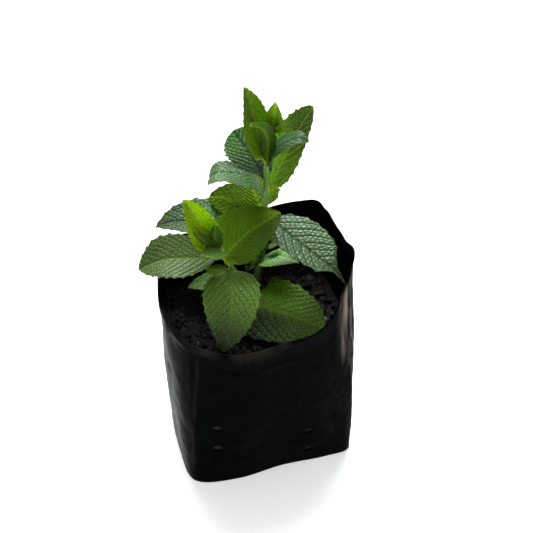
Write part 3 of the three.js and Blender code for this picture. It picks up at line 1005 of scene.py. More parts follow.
    def lip_rows(self, round_: Array, rim: Array) -> list[Array]:
        """Rings that roll the film outwards over the rim and let its loose edge hang.

        Args:
            round_: The columns' places round the bag, counted in keys.
            rim: The wall's topmost ring.

        Returns:
            The rings' points, from the rim to the loose edge.
        """
        side = unit((np.roll(rim, -1, axis=0) - rim)[..., :2])
        out = np.stack([side[..., 1], -side[..., 0], np.zeros(self.columns)], -1)
        up = np.array([0.0, 0.0, 1.0])
        size = self.lip_size(round_)[:, None]
        radius = 0.25 + size * (self.lip_roll + 0.35 * noise(round_ * 2.1, 1.0))[:, None]
        rows = []
        for angle in np.linspace(0, np.pi, 7)[1:]:
            rows.append(rim + out * radius * (1 - math.cos(angle)) + up * radius * math.sin(angle))
        for share in (0.35, 0.7, 1.0):
            drop = size * share * (self.lip_drop + 1.2 * noise(round_ * 1.7, 6.0))[:, None] + 0.12 * share
            wave = out * size * share * (0.5 * noise(round_ * 4.0, 8.0))[:, None]
            rows.append(rim + out * radius * 2 - up * drop + wave)
        return rows

    def paint_glints(self, bag: bpy.types.Object) -> None:
        """Paints pale highlights where the film catches the light: on the front right pleat, the lip and the
        left crease.

        Args:
            bag: The bag's finished mesh.
        """
        x, y, z = places_of(bag).T
        t = keys_round(np.stack([x, y], -1))
        rim = closed_curve(RIM_KEYS, t)[:, 2]
        streaks = np.clip(0.5 + 0.7 * noise(t * 26, z / 30) + 0.5 * noise(t * 60, z / 18), 0, 1)
        pleat = bell(t - 14.72, 0.16) * smooth(72, 86, z) * (1 - smooth(124, 138, z))
        lip = self.lip_size(t) * bell(z - rim - 1, 2.4) * np.clip(0.45 + 0.6 * noise(t * 5, 3.0), 0, 1)
        band = smooth(11.7, 12.1, t) * (1 - smooth(13.0, 13.6, t)) * bell(z - rim + 5, 4) * 0.5
        crease = bell(t - lerp(11.02, 11.16, z / 104), 0.03) * smooth(4, 20, z) * (1 - smooth(90, 104, z))
        # Painted highlights: pale streaks of light on the pleat, the rolled lip, the band below it and the
        # left crease.
        painted_glint = 2.6 * pleat * streaks**2 + 0.08 * lip + 0.05 * band * streaks + 0.04 * crease
        mark(bag, "painted_glint", np.clip(painted_glint, 0, 1))

    def build(self) -> bpy.types.Object:
        """Makes the bag with its thickness, drain holes and finish.

        Returns:
            The finished piece.
        """
        bag = self.shell()
        sheet_outward(bag)
        thicken(bag, self.film, -1.0)
        for x, z in self.drain_holes:
            self.punch(bag, x, z)
        self.paint_glints(bag)
        shade(bag)
        finish = FilmFinish()
        bag.data.materials.append(material_of(finish))
        return dress(bag, finish.slot, "grow_bag")

    def punch(self, bag: bpy.types.Object, x: float, z: float) -> None:
        """Punches one drain hole through the front and the back.

        Args:
            bag: The bag, with its thickness.
            x: Where the hole is from left to right.
            z: How high it is.
        """
        start_clean()
        bpy.ops.mesh.primitive_cylinder_add(
            vertices=28, radius=MM, depth=120 * MM,
            location=(x * MM, 0, z * MM), rotation=(math.pi / 2, 0, 0),
        )
        punch = bpy.context.active_object
        punch.scale = (*self.hole_half, 1.0)
        take(bag)
        bpy.ops.object.modifier_add(type="BOOLEAN")
        modifier = bag.modifiers[-1]
        modifier.operation = "DIFFERENCE"
        modifier.object = punch
        bpy.ops.object.modifier_apply(modifier=modifier.name)
        bpy.data.objects.remove(punch)


def keys_round(points: Array) -> Array:
    """How far round the bag points are, by the nearest place of a line halfway between base and rim.

    Args:
        points: Places as x and y, one a row.

    Returns:
        Keys for each point.
    """
    t = np.linspace(0, len(BASE_KEYS), 600, endpoint=False)
    line = (closed_curve(BASE_KEYS, t) + closed_curve(RIM_KEYS, t)[:, :2]) / 2
    nearest = [np.argmin(((line - p) ** 2).sum(-1)) for p in points]
    return t[nearest]


def dress(piece: bpy.types.Object, slot: str, *nodes: str) -> bpy.types.Object:
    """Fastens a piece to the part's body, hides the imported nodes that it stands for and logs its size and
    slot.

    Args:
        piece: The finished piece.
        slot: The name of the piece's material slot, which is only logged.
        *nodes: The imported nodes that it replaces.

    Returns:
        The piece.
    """
    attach(piece, "root")
    if nodes:
        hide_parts(*nodes)
    faces = sum(len(p.vertices) - 2 for p in piece.data.polygons)
    LOG.info("%s: %d triangles, slot %s, for %s", piece.name, faces, slot, ", ".join(nodes) or "no node")
    return piece


# The soil

@dataclass(frozen=True)
class CrumbSort:
    """One size of loose crumb: how many there are, their smallest and largest radius, and their sides."""

    count: int
    least: float
    most: float
    sides: int


@dataclass
class PottingSoil:
    """The bag's filling: a lumpy block with loose crumbs, bark, fibres and a few white grains on top.

    top is the height of its surface and inset its distance from the bag's outer wall. mound is a low
    heap at the tall stem, as x, y, height and the square of its spread. front_drop is how much lower
    the surface lies at the front. columns and rings are the mesh's own, and seed starts the random
    draws. sorts are the sizes of crumb, and the counts are those of fibres, bark chips and white
    grains. big_grain is where the grain lies that shows at the front right, and big_grain_size its
    half sizes.
    """

    bag: GrowBag
    top: float = 97.0
    mound: tuple[float, float, float, float] = (11.0, 25.0, 1.6, 500.0)
    front_drop: float = 1.2
    inset: float = 0.9
    seed: int = 11
    columns: int = 260
    rings: int = 84
    sorts: tuple[CrumbSort, ...] = (
        CrumbSort(520, 0.5, 1.1, 7), CrumbSort(240, 0.9, 1.9, 8), CrumbSort(110, 1.5, 2.8, 9),
    )
    fibre_count: int = 150
    chip_count: int = 60
    grain_count: int = 9
    big_grain: tuple[float, float] = (40.5, -19.8)
    big_grain_size: tuple[float, float, float] = (2.2, 1.7, 1.4)

    def height(self, x: Array, y: Array) -> Array:
        """How high the plain surface lies, as in the packed soil.

        Args:
            x: Places from left to right.
            y: Places from front to back.

        Returns:
            Heights in millimetres.
        """
        front = np.clip((-y - 8) / 30, 0, 1)
        mx, my, tall, spread = self.mound
        heap = tall * np.exp(-((x - mx) ** 2 + (y - my) ** 2) / spread)
        lumps = 0.9 * noise(x / 9 + 3, y / 9) + 0.5 * noise(x / 4, y / 4 + 7)
        return self.top + heap - self.front_drop * front + lumps * (1 - 0.45 * front)

    def crumbly(self, x: Array, y: Array) -> Array:
        """How high the surface lies with its clods of 5 mm and its crumbs of 2 mm.

        Args:
            x: Places from left to right.
            y: Places from front to back.

        Returns:
            Heights in millimetres.
        """
        clods = 1.5 * smooth(0.05, 0.5, cells(x / 5.2, y / 5.2, 0.45)[0]) - 0.7
        crumbs = 0.8 * smooth(0.05, 0.45, cells(x / 2.1 + 9, y / 2.1, 0.45)[0]) - 0.4
        return self.height(x, y) + clods * 0.8 + crumbs + 0.35 * rough_noise(x / 1.1, y / 1.1)

    def block(self) -> bpy.types.Object:
        """The soil's body, from the bag's floor to its crumbly top.

        Returns:
            The finished piece.
        """
        round_ = np.arange(self.columns) / self.columns * len(BASE_KEYS)
        rise = closed_curve(RIM_KEYS, round_)[..., 2]
        edge = self.bag.inside(round_, self.top / rise, self.inset)
        rows = []
        below = self.inset + 0.6
        foot = self.bag.inside(round_, np.zeros(self.columns), below)
        foot[..., 2] = 1.0
        for share in (0.0, 0.5, 0.96):
            ring = foot.copy()
            ring[..., :2] *= share
            rows.append(ring)
        for s in (0.06, 0.2, 0.35, 0.5):
            rows.append(self.bag.inside(round_, np.full(self.columns, s), below))
        near_top = edge.copy()
        near_top[..., 2] = self.height(edge[..., 0], edge[..., 1]) - 5
        rows.append(near_top)
        for share in np.linspace(1, 0, self.rings):
            ring = edge.copy()
            ring[..., :2] *= share
            ring[..., 2] = self.crumbly(ring[..., 0], ring[..., 1])
            rows.append(ring)
        soil = tube("soil_block", np.array(rows))
        x, y = places_of(soil).T[:2]
        mark(soil, "tone", 0.35 + 0.4 * rough_noise(x / 3, y / 3))
        outward(soil)
        shade(soil)
        soil.data.materials.append(material_of(SoilFinish("potting_mix")))
        return dress(soil, "potting_soil", "potting_soil")

    def spots(self, count: int, rng: np.random.Generator, margin: float = 3.0) -> Array:
        """Random places on the soil, spread evenly.

        Args:
            count: How many are wanted.
            rng: The source of random draws.
            margin: How far they keep from the bag's wall, in millimetres.

        Returns:
            Each place as x, y and height.
        """
        round_ = rng.uniform(0, len(BASE_KEYS), count)
        rise = closed_curve(RIM_KEYS, round_)[..., 2]
        edge = self.bag.inside(round_, self.top / rise, self.inset + margin)
        flat = edge[..., :2] * np.sqrt(rng.uniform(0, 1, count))[:, None]
        return np.c_[flat, self.crumbly(flat[:, 0], flat[:, 1])]

    def lump(self, sides: int, rings: int, lobes: float, number: int) -> bpy.types.Object:
        """One uneven crumb about one millimetre in radius, to be copied.

        Args:
            sides: How many sides it has round it.
            rings: How many rings from pole to pole.
            lobes: How many dents there are across it.
            number: Which crumb it is, as each has dents of its own.

        Returns:
            The crumb.
        """
        start_clean()
        bpy.ops.mesh.primitive_uv_sphere_add(segments=sides, ring_count=rings, radius=MM)
        crumb = bpy.context.active_object
        for v in crumb.data.vertices:
            p = v.co / MM
            swell = float(noise(p.x * lobes + number * 7, p.y * lobes + p.z * 3.1))
            v.co = v.co * (1 + 0.42 * swell)
        return crumb

    def litter(self, name: str, seed: bpy.types.Object, places: Array, tones: Array, finish: SoilFinish,
               soft: bool = True) -> bpy.types.Object:
        """Spreads copies of a small shape over the soil.

        Args:
            name: The piece's name.
            seed: The shape.
            places: A matrix for each copy.
            tones: How light each copy is, from 0 to 1.
            finish: What they are made of.
            soft: Whether the copies are shaded smooth.

        Returns:
            The finished piece.
        """
        heap = copies(name, seed, places, tones)
        heap.data.materials.append(material_of(finish))
        if soft:
            shade(heap)
        return dress(heap, finish.slot)

    def build(self) -> list[bpy.types.Object]:
        """Makes the block, then crumbs in three sizes, fibres, bark chips and white grains on it.

        Returns:
            The finished pieces.
        """
        rng = np.random.default_rng(self.seed)
        made = [self.block()]
        made += [self.crumbs(rng, number, sort) for number, sort in enumerate(self.sorts)]
        return made + [self.fibres(rng), self.chips(rng), self.grains(rng)]

    def crumbs(self, rng: np.random.Generator, number: int, sort: CrumbSort) -> bpy.types.Object:
        """Loose crumbs of one size, sunk a little into the surface.

        Args:
            rng: The source of random draws.
            number: The size's number from 0.
            sort: The size.

        Returns:
            The finished piece.
        """
        at = self.spots(sort.count, rng, 1.5 + sort.most)
        size = rng.uniform(sort.least, sort.most, sort.count)
        at[:, 2] += size * 0.25
        axes = size[:, None] * rng.uniform(0.6, 1.15, (sort.count, 3))
        matrices = placed(at, rng.normal(size=(sort.count, 3)), axes, rng.uniform(0, TURN, sort.count))
        tones = rng.uniform(0, 1, sort.count) ** 1.8
        seed = self.lump(sort.sides, sort.sides - 2, 1.6, number)
        finish = SoilFinish("loose_crumbs", dry=0.7)
        return self.litter(f"soil_crumbs_{number + 1}", seed, matrices, tones, finish)

    def fibres(self, rng: np.random.Generator) -> bpy.types.Object:
        """Fine root and coir fibres that lie curled on the surface.

        Args:
            rng: The source of random draws.

        Returns:
            The finished piece.
        """
        count = self.fibre_count
        z = np.linspace(-1, 1, 10)[:, None]
        angle = np.arange(4)[None, :] * np.pi / 2
        blunt = np.where(np.abs(z) < 1, 1.0, 0.0)
        x = np.cos(angle) * blunt + 5.5 * np.sin(z * 1.9) * (1 - z * z * 0.3)
        y = np.sin(angle) * blunt + 3.0 * np.cos(z * 2.6)
        fibre = tube("fibre", np.stack([x, y, z + 0 * angle], -1))
        outward(fibre)
        at = self.spots(count, rng, 9.0)
        along = rng.normal(size=(count, 3)) * [1, 1, 0.22]
        thin = rng.uniform(0.09, 0.2, count)
        size = np.c_[thin, thin, rng.uniform(2.2, 6.5, count)]
        at[:, 2] += 0.6
        matrices = placed(at, along, size, rng.uniform(0, TURN, count))
        finish = SoilFinish("fibre", (0.02, 0.013, 0.008), (0.06, 0.04, 0.025), (0.16, 0.11, 0.07))
        return self.litter("soil_fibres", fibre, matrices, rng.uniform(0.2, 1, count), finish)

    def chips(self, rng: np.random.Generator) -> bpy.types.Object:
        """Flat bark chips with broken edges.

        Args:
            rng: The source of random draws.

        Returns:
            The finished piece.
        """
        count = self.chip_count
        chip = self.lump(6, 4, 2.3, 5)
        at = self.spots(count, rng, 6.0)
        length = rng.uniform(1.6, 4.2, count)
        size = np.c_[length * rng.uniform(0.35, 0.7, count), length, length * 0.22]
        along = rng.normal(size=(count, 3)) * 0.45 + [0, 0, 1]
        at[:, 2] += 0.5
        matrices = placed(at, along, size, rng.uniform(0, TURN, count))
        finish = SoilFinish(
            "bark", (0.008, 0.005, 0.004), (0.022, 0.014, 0.01), (0.07, 0.045, 0.03), dry=0.55)
        return self.litter("bark_chips", chip, matrices, rng.uniform(0.1, 0.9, count), finish, soft=False)

    def grains(self, rng: np.random.Generator) -> bpy.types.Object:
        """White perlite grains, the largest near the front right.

        Args:
            rng: The source of random draws.

        Returns:
            The finished piece.
        """
        count = self.grain_count
        at = self.spots(count, rng, 7.0)
        at[0, :2] = self.big_grain
        at[0, 2] = self.crumbly(at[:1, 0], at[:1, 1])[0] + 0.8
        size = rng.uniform(0.3, 0.7, (count, 3))
        size[0] = self.big_grain_size
        matrices = placed(at, rng.normal(size=(count, 3)), size, rng.uniform(0, TURN, count))
        grain = self.lump(9, 7, 2.6, 3)
        finish = SoilFinish("perlite", (0.12, 0.1, 0.085), (0.42, 0.39, 0.36), (0.65, 0.63, 0.6), dry=0.85)
        return self.litter("perlite_grains", grain, matrices, rng.uniform(0.4, 1, count), finish, soft=False)


# The stems

@dataclass(frozen=True)
class Blade:
    """The form of a leaf or a bud's leaflet.

    tip is where it ends, width its full width and teeth the number of teeth on each side. via lists
    places that the midrib passes between the stem and the tip. Without them, arch lifts the midrib and
    sway moves it sideways. fold lifts both halves in degrees, roll turns the blade about its midrib,
    facing is the heading that its sides are level to, and leave the heading in which the stalk leaves
    the stem. rise rounds the blade's base and taper its tip, the smaller the blunter. stalk is the
    stalk's length and lean extra room at the stem. cup lifts the left and the right half further, in
    degrees, and wave is the height of the margin's waves. halves scales the width of the left and the
    right half. cell is the size of a field between fine veins, quilt how strongly the fields stand up,
    and vein_slant how far the side veins lean to the tip. drip narrows the last quarter to a drawn-out
    tip, and lobe draws the margins back at the base. tones lighten or darken the blade, and matt takes
    its gloss off: at the left half's base and tip, then at the right half's.
    """

    tip: tuple[float, float, float]
    width: float
    teeth: int = 3
    via: tuple[tuple[float, float, float], ...] = ()
    arch: float = 0.0
    sway: float = 0.0
    fold: float = 10.0
    roll: float = 0.0
    rise: float = 0.52
    taper: float = 0.86
    facing: float | None = None
    leave: float | None = None
    stalk: float = 3.0
    lean: float = 0.0
    cup: tuple[float, float] = (0.0, 0.0)
    halves: tuple[float, float] = (1.0, 1.0)
    wave: float = 0.5
    cell: float = 2.4
    quilt: float = 1.0
    vein_slant: float = 0.72
    drip: float = 0.0
    # tones are painted light and shade: each half's base and tip made lighter where light comes through and
    # darker where shade falls.
    tones: tuple[float, float, float, float] = (1.0, 1.0, 1.0, 1.0)
    matt: tuple[float, float, float, float] = (0.0, 0.0, 0.0, 0.0)
    lobe: float = 0.0


@dataclass
class Stem:
    """A four-cornered stem with swollen leaf joints, fine hairs and small leaves at its tip and side buds.

    line is the course of its middle, from the foot in the soil to the tip. radii are its radius at
    the soil and at the tip. joints are the heights at which leaves join, and swelling and joint_half
    how much wider it is there and over what height. buds are the heights and forms of the small
    leaves that are part of it. hairs is how many hairs it has, which start at the height bare.
    """

    name: str
    line: Array
    radii: tuple[float, float]
    joints: tuple[float, ...]
    buds: tuple[tuple[float, Blade], ...]
    hairs: int
    swelling: float = 0.2
    joint_half: float = 2.2
    bare: float = 99.0

    def middle(self, z: Array | float) -> Array:
        """Where the stem's middle is.

        Args:
            z: Heights in millimetres.

        Returns:
            A point for each height.
        """
        z = np.asarray(z, float)
        levels = self.line[:, 2]
        x, y = (np.interp(z, levels, self.line[:, k]) for k in (0, 1))
        return np.stack([x, y, z], -1)

    def radius(self, z: Array | float) -> Array:
        """How thick the stem is, with the swellings where leaves join.

        Args:
            z: Heights in millimetres.

        Returns:
            A radius for each height.
        """
        z = np.asarray(z, float)
        low, high = self.line[1, 2], self.line[-1, 2]
        plain = lerp(self.radii[0], self.radii[1], np.clip((z - low) / (high - low), 0, 1))
        joint = np.max([bell(z - n, self.joint_half) for n in self.joints], axis=0)
        return plain * (1 + self.swelling * joint)

    def skin(self) -> bpy.types.Object:
        """The stem itself, smoothed between its points, closed at both ends.

        Returns:
            The stem's skin, with its material.
        """
        top = self.line[-1, 2]
        levels = np.linspace(self.line[0, 2], top, int((top - self.line[0, 2]) / 0.8))
        angle = np.linspace(0, 2 * np.pi, 28, endpoint=False)
        reach = np.array([-3.0, -1.5, 0.0, 1.5, 3.0])
        rows = []
        for z in levels:
            middle = self.middle(np.clip(z + reach, self.line[0, 2], top)).mean(0)
            middle[2] = z
            corner = 1 + 0.1 * np.cos(4 * angle + 0.5 * math.sin(z / 9)) + 0.02 * noise(angle * 3, z / 3)
            r = self.radius(z) * corner
            rows.append(middle + np.stack([r * np.cos(angle), r * np.sin(angle), 0 * angle], -1))
        first, last = rows[0], rows[-1]
        floor = [lerp(first.mean(0), first, share) for share in (0.0, 0.6)]
        cap = []
        for share, lift in ((0.75, 0.5), (0.4, 0.85), (0.0, 1.0)):
            cap.append(lerp(last.mean(0), last, share) + [0, 0, lift])
        skin = tube(self.name + "_skin", np.array(floor + rows + cap))
        outward(skin)
        skin.data.materials.append(material_of(StemFinish()))
        return skin

    def fuzz(self, seed: int) -> bpy.types.Object:
        """Short hairs that stand off the stem, slightly bent down.

        Args:
            seed: The seed of their random draws.

        Returns:
            All hairs as one object, with their material.
        """
        rng = np.random.default_rng(seed)
        start_clean()
        bpy.ops.mesh.primitive_cone_add(vertices=3, radius1=0.045 * MM, radius2=0, depth=MM)
        hair = bpy.context.active_object
        for v in hair.data.vertices:
            v.co.z += 0.5 * MM
        z = rng.uniform(self.bare, self.line[-1, 2] - 1, self.hairs)
        angle = rng.uniform(0, 2 * np.pi, self.hairs)
        out = np.stack([np.cos(angle), np.sin(angle), 0 * angle], -1)
        at = self.middle(z) + out * (self.radius(z) * 0.97)[:, None]
        along = out + rng.normal(size=out.shape) * 0.25 - [0, 0, 0.25]
        long_ = rng.uniform(0.45, 1.0, self.hairs)
        size = np.c_[np.ones(self.hairs), np.ones(self.hairs), long_]
        heap = copies(self.name + "_hairs", hair, placed(at, along, size, angle), np.ones(self.hairs))
        heap.data.materials.append(material_of(HairFinish()))
        return heap

    def build(self, seed: int) -> bpy.types.Object:
        """Makes the stem with its hairs and its buds as one piece.

        Args:
            seed: The seed of the hairs' random draws.

        Returns:
            The finished piece.
        """
        parts = [self.skin()]
        for number, (at, blade) in enumerate(self.buds):
            base = self.middle(at)
            leaflet = Leaf(f"{self.name}_bud_{number + 1}", blade, base, Age.BUD, number + 3)
            parts.append(leaflet.sheet(rows=36, columns=21))
        for part in parts:
            shade(part)
        parts.append(self.fuzz(seed))
        stem = join(parts)
        stem.name = stem.data.name = self.name + "_shoot"
        return dress(stem, "mint_stem", self.name)


# The leaves

@dataclass(frozen=True)
class Plan:
    """A leaf laid out flat, in rows along it and columns across it.

    v runs from -1 at the right margin to 1 at the left one, size is its amount and hand its sign.
    along is 0 on the stalk and runs to 1 at the tip. s is how far along the midrib and its stalk a
    place lies and t how far along the blade. reach is its distance from the midrib in millimetres,
    full how wide the blade is there as a share, and on_blade 0 on the stalk and 1 on the blade.
    """

    v: Array
    size: Array
    hand: Array
    along: Array
    s: Array
    t: Array
    reach: Array
    full: Array
    on_blade: Array


@dataclass(frozen=True)
class Veins:
    """The veins of a leaf laid out flat, at the places of its plan.

    phase counts the side veins and from_vein is the distance to the nearest one in millimetres.
    edges is how far a place is from the border of its field in the fine net, and tip the field's own
    slope. crown is how fully the fields may rise there, from 0 at the margin and the midrib to 1.
    """

    phase: Array
    from_vein: Array
    edges: Array
    tip: Array
    crown: Array


def saw(x: Array, steep: float = 0.25) -> Array:
    """Teeth of one unit each from 0 to 1, that fall over a share steep and rise over the rest."""
    x = np.mod(x, 1.0)
    return np.where(x < steep, 1 - x / steep, (x - steep) / (1 - steep))


@dataclass
class Leaf:
    """One leaf: a stalk and a toothed blade with a midrib, side veins and a quilted net between them.

    sweep is how far the margins run ahead of the midrib, tooth where the first side vein starts,
    both as shares. stalk_half is half the stalk's width, film the blade's thickness, rib_half half
    the midrib's width, and keel and under_vein how far the midrib and the side veins stand out below.
    """

    name: str
    blade: Blade
    base: Array
    age: Age
    seed: int
    slot: str = "mint_leaf"
    sweep: float = 0.1
    tooth: float = 0.72
    stalk_half: float = 0.9
    film: float = 0.36
    rib_half: float = 0.85
    keel: float = 0.95
    under_vein: float = 0.28

    @property
    def half(self) -> float:
        """Half the blade's full width."""
        return self.blade.width / 2

    @property
    def relief(self) -> float:
        """How high the fields between the veins stand, larger on a large leaf."""
        return float(np.clip(self.half * 0.035, 0.15, 0.5))

    def midrib(self) -> tuple[Array, Array]:
        """The course of the midrib, through its via places or along an arch.

        Returns:
            Places at even steps along it, and the direction that the blade's sides are level to.
        """
        b = self.blade
        start, end = np.asarray(self.base, float), np.array(b.tip, float)
        chord = end - start
        heading = math.atan2(chord[1], chord[0]) if b.facing is None else math.radians(b.facing)
        side = np.array([-math.sin(heading), math.cos(heading), 0.0])
        if b.via:
            return open_curve(np.array([start, *b.via, end], float)), side
        span = np.linalg.norm(chord)
        up = unit(np.cross(chord, side))
        across = unit(np.cross(up, chord))
        bend = start + chord * 0.5 + up * b.arch * 2 * span + across * b.sway * 2 * span
        t = np.linspace(0, 1, 9)[:, None]
        return open_curve(start * (1 - t) ** 2 + bend * 2 * t * (1 - t) + end * t**2), side

    def length(self, line: Array) -> float:
        """The length of a course, in millimetres."""
        return np.linalg.norm(np.diff(line, axis=0), axis=1).sum()

    def outline(self, t: Array) -> Array:
        """How wide the blade is, without its teeth.

        Args:
            t: How far along the blade.

        Returns:
            A share of the full half width.
        """
        rise, taper = self.blade.rise, self.blade.taper
        widest = rise / (rise + taper)
        most = widest**rise * (1 - widest) ** taper
        t = np.clip(t, 0, 1)
        return t**rise * (1 - t) ** taper / most * (1 - self.blade.drip * smooth(0.7, 0.86, t))

    def teeth(self, along: Array, hand: Array) -> Array:
        """How far the margin's teeth stand out, with a small one between each two, in millimetres.

        Args:
            along: How far along the blade.
            hand: Which half, 1 or -1.

        Returns:
            Millimetres, below 0 in the notches.
        """
        count = self.blade.teeth
        bite = float(np.clip(self.half * 0.075, 0.25, 1.15))
        tooth = saw(along * count - self.tooth) - 0.5
        tooth = tooth + 0.5 * saw(along * count * 2 - self.tooth + 0.5) - 0.25
        uneven = 1 + 0.35 * noise(along * count * 0.9 + self.seed, hand * 3)
        return tooth * bite * 1.1 * uneven

    def plan(self, rows: int, columns: int, stalk: float) -> Plan:
        """Lays the leaf out flat, with its toothed margin.

        Args:
            rows: How many rows of points lie along the leaf.
            columns: How many columns lie across it.
            stalk: The stalk's share of the leaf's length.

        Returns:
            The plan.
        """
        b = self.blade
        stalk_rows = max(4, rows // 14)
        on_stalk = np.linspace(-1, 0, stalk_rows, endpoint=False)
        steps = np.concatenate([on_stalk, np.linspace(0, 1, rows - stalk_rows)])
        u, v = np.meshgrid(steps, np.linspace(-1, 1, columns), indexing="ij")
        size, hand, along = np.abs(v), np.sign(v), np.maximum(0, u)
        own = np.where(u < 0, stalk * (1 + u), stalk + (1 - stalk) * along)
        belly = 4 * along * (1 - along)
        s = np.clip(own + self.sweep * size * belly * (1 - stalk), 0, 1)
        t = (s - stalk) / (1 - stalk)
        share = np.where(hand > 0, b.halves[0], b.halves[1])
        stalk_wide = min(self.stalk_half, self.half * 0.3) * (1 - np.clip(t, 0, 0.65))
        wide = np.hypot(self.outline(t) * self.half * share, stalk_wide)
        full = np.minimum(1, wide / self.half)
        edge = self.teeth(along, hand) * np.minimum(1, full + 0.3) * (t > 0.08) * size**7
        return Plan(v, size, hand, along, s, t, wide * size + edge, full, smooth(0.0, 0.1, t))

    def veins(self, plan: Plan, length: float) -> Veins:
        """Works out where the side veins and the fine net between them lie.

        Args:
            plan: The leaf laid out flat.
            length: The blade's length in millimetres.

        Returns:
            The veins at the plan's places.
        """
        b = self.blade
        forward = plan.reach * (b.vein_slant + 0.36 * plan.reach / self.half)
        phase = b.teeth * (plan.along - forward / length) - self.tooth
        phase = phase + 0.12 * noise(plan.reach / 7 + self.seed, plan.along * b.teeth * 0.8 + plan.hand * 9)
        spacing = length / b.teeth * 0.78
        from_vein = np.abs(np.mod(phase + 0.5, 1) - 0.5) * spacing
        rows_of_cells = max(1, round(spacing / b.cell))
        outwards = 0.72 * plan.reach + 0.69 * plan.along * length
        column = plan.hand * (outwards / b.cell + 40) + self.seed * 9
        edges, tip = cells(column, (phase + 40) * rows_of_cells, 0.3)
        off_margin = np.minimum(1, (1 - plan.size) * 14)
        crown = smooth(0.2, 1.3, plan.reach) * off_margin * plan.full**0.5 * plan.on_blade
        return Veins(phase, from_vein, edges, tip, crown)

    def quilt(self, plan: Plan, veins: Veins, length: float) -> Array:
        """How far the fields stand up and the midrib lies sunk.

        Args:
            plan: The leaf laid out flat.
            veins: Its veins.
            length: The blade's length in millimetres.

        Returns:
            Millimetres at the plan's places.
        """
        strong = self.blade.quilt
        panel = smooth(0.0, 0.8, veins.from_vein)
        plate = smooth(0.0, 0.42, veins.edges)
        dome = panel * (0.5 + 0.5 * plate)
        swell = -np.cos(2 * np.pi * veins.phase) * 0.16
        field_ = swell + 1.25 * dome + 0.5 * veins.tip * panel * plate - 0.7
        grain = noise(plan.reach * 1.3 + 31, plan.along * length * 1.3)
        groove = bell(plan.reach, self.rib_half) * plan.on_blade * min(0.6, self.relief * 1.4)
        return veins.crown * self.relief * strong * field_ + veins.crown * 0.06 * strong * grain - groove

    def lifted(self, plan: Plan, quilt: Array) -> tuple[Array, Array]:
        """Lifts both halves by the fold and cups, and waves the margins.

        Args:
            plan: The leaf laid out flat.
            quilt: How far the fields stand up.

        Returns:
            How far a place is from the midrib on the level, and how far above it.
        """
        b = self.blade
        cup = np.where(plan.hand > 0, b.cup[0], b.cup[1])
        lift = math.radians(b.fold) + math.radians(1) * cup * plan.on_blade
        level = plan.reach * np.cos(lift)
        rise = plan.reach * np.sin(lift) + quilt
        ripple = noise(plan.along * b.teeth * 0.6 + self.seed, plan.hand * 5 + 2)
        rise = rise + b.wave * plan.size**3 * ripple * plan.full * plan.on_blade
        buckle = noise(plan.along * 3 + self.seed, plan.v * 1.6 + 4)
        return level, rise + 0.03 * self.half * buckle * plan.on_blade

    def bent(self, plan: Plan, line: Array, side: Array, quilt: Array) -> Array:
        """Carries the flat leaf onto its midrib's course.

        Args:
            plan: The leaf laid out flat.
            line: The midrib's course.
            side: The direction that the blade's sides are level to.
            quilt: How far the fields stand up.

        Returns:
            The place of each point, in millimetres.
        """
        b = self.blade
        level, rise = self.lifted(plan, quilt)
        ways = np.linspace(0, 1, len(line))
        heading = unit(np.gradient(line, axis=0))
        seen = np.clip(plan.s - b.lobe * plan.size**1.5 * bell(plan.t, 0.3), 0, 1)
        point = np.stack([np.interp(seen, ways, line[:, k]) for k in range(3)], -1)
        along = unit(np.stack([np.interp(plan.s, ways, heading[:, k]) for k in range(3)], -1))
        flat = unit(side - along * (along * side).sum(-1, keepdims=True))
        above = np.cross(along, flat)
        roll = math.radians(b.roll)
        turned = flat * math.cos(roll) + above * math.sin(roll)
        raised = above * math.cos(roll) - flat * math.sin(roll)
        return point + turned * (plan.hand * level)[..., None] + raised * rise[..., None]

    def thickness(self, plan: Plan, veins: Veins) -> Array:
        """How thick the leaf is, with a round stalk, a keel and raised veins below.

        Args:
            plan: The leaf laid out flat.
            veins: Its veins.

        Returns:
            Millimetres at the plan's places.
        """
        stalk_half = min(self.stalk_half, self.half * 0.3)
        on_stalk = 1 - smooth(0.0, 0.16, plan.t)
        stalk = np.sqrt(np.maximum(0, 1 - plan.size**2)) * on_stalk * stalk_half * 1.8
        keel = bell(plan.reach, 0.6) * self.keel * (1 - 0.75 * plan.along)
        keel = keel * plan.on_blade * min(1, self.half / 8)
        side_veins = self.under_vein * bell(veins.from_vein, 0.35) * veins.crown * (1 - plan.size * 0.6)
        film = np.full_like(plan.size, self.film)
        return np.maximum.reduce([film, stalk, self.film + keel + side_veins])

    def colour(self, leaf: bpy.types.Object, plan: Plan, veins: Veins) -> None:
        """Stores what the leaf's material reads: its net, its ribs, its tone, which paints light and shade,
        and where it is matt.

        Args:
            leaf: The leaf's mesh, still without thickness.
            plan: The leaf laid out flat.
            veins: Its veins.
        """
        b = self.blade
        # fine is 0 in the grooves between the raised fields and along the side veins, where the material
        # paints shade.
        fine = smooth(0.0, 0.65, veins.from_vein) * (0.15 + 0.85 * smooth(0.02, 0.34, veins.edges))
        mark(leaf, "net", lerp(0.5, fine, veins.crown))
        middle = bell(plan.reach, self.rib_half) * plan.on_blade
        sides = 0.7 * bell(veins.from_vein, 0.4) * np.clip(1.3 - plan.size, 0, 1) * plan.on_blade
        mark(leaf, "rib", np.clip(middle + sides + (1 - plan.on_blade), 0, 1))
        to_tip = smooth(0.25, 0.85, plan.along)
        across = smooth(-0.35, 0.35, plan.v)
        # The tone marks painted light and shade along each half; the matt marks only take off gloss.
        for kind, values in (("tone", b.tones), ("matt", b.matt)):
            left, right = lerp(values[0], values[1], to_tip), lerp(values[2], values[3], to_tip)
            mark(leaf, kind, lerp(right, left, across))

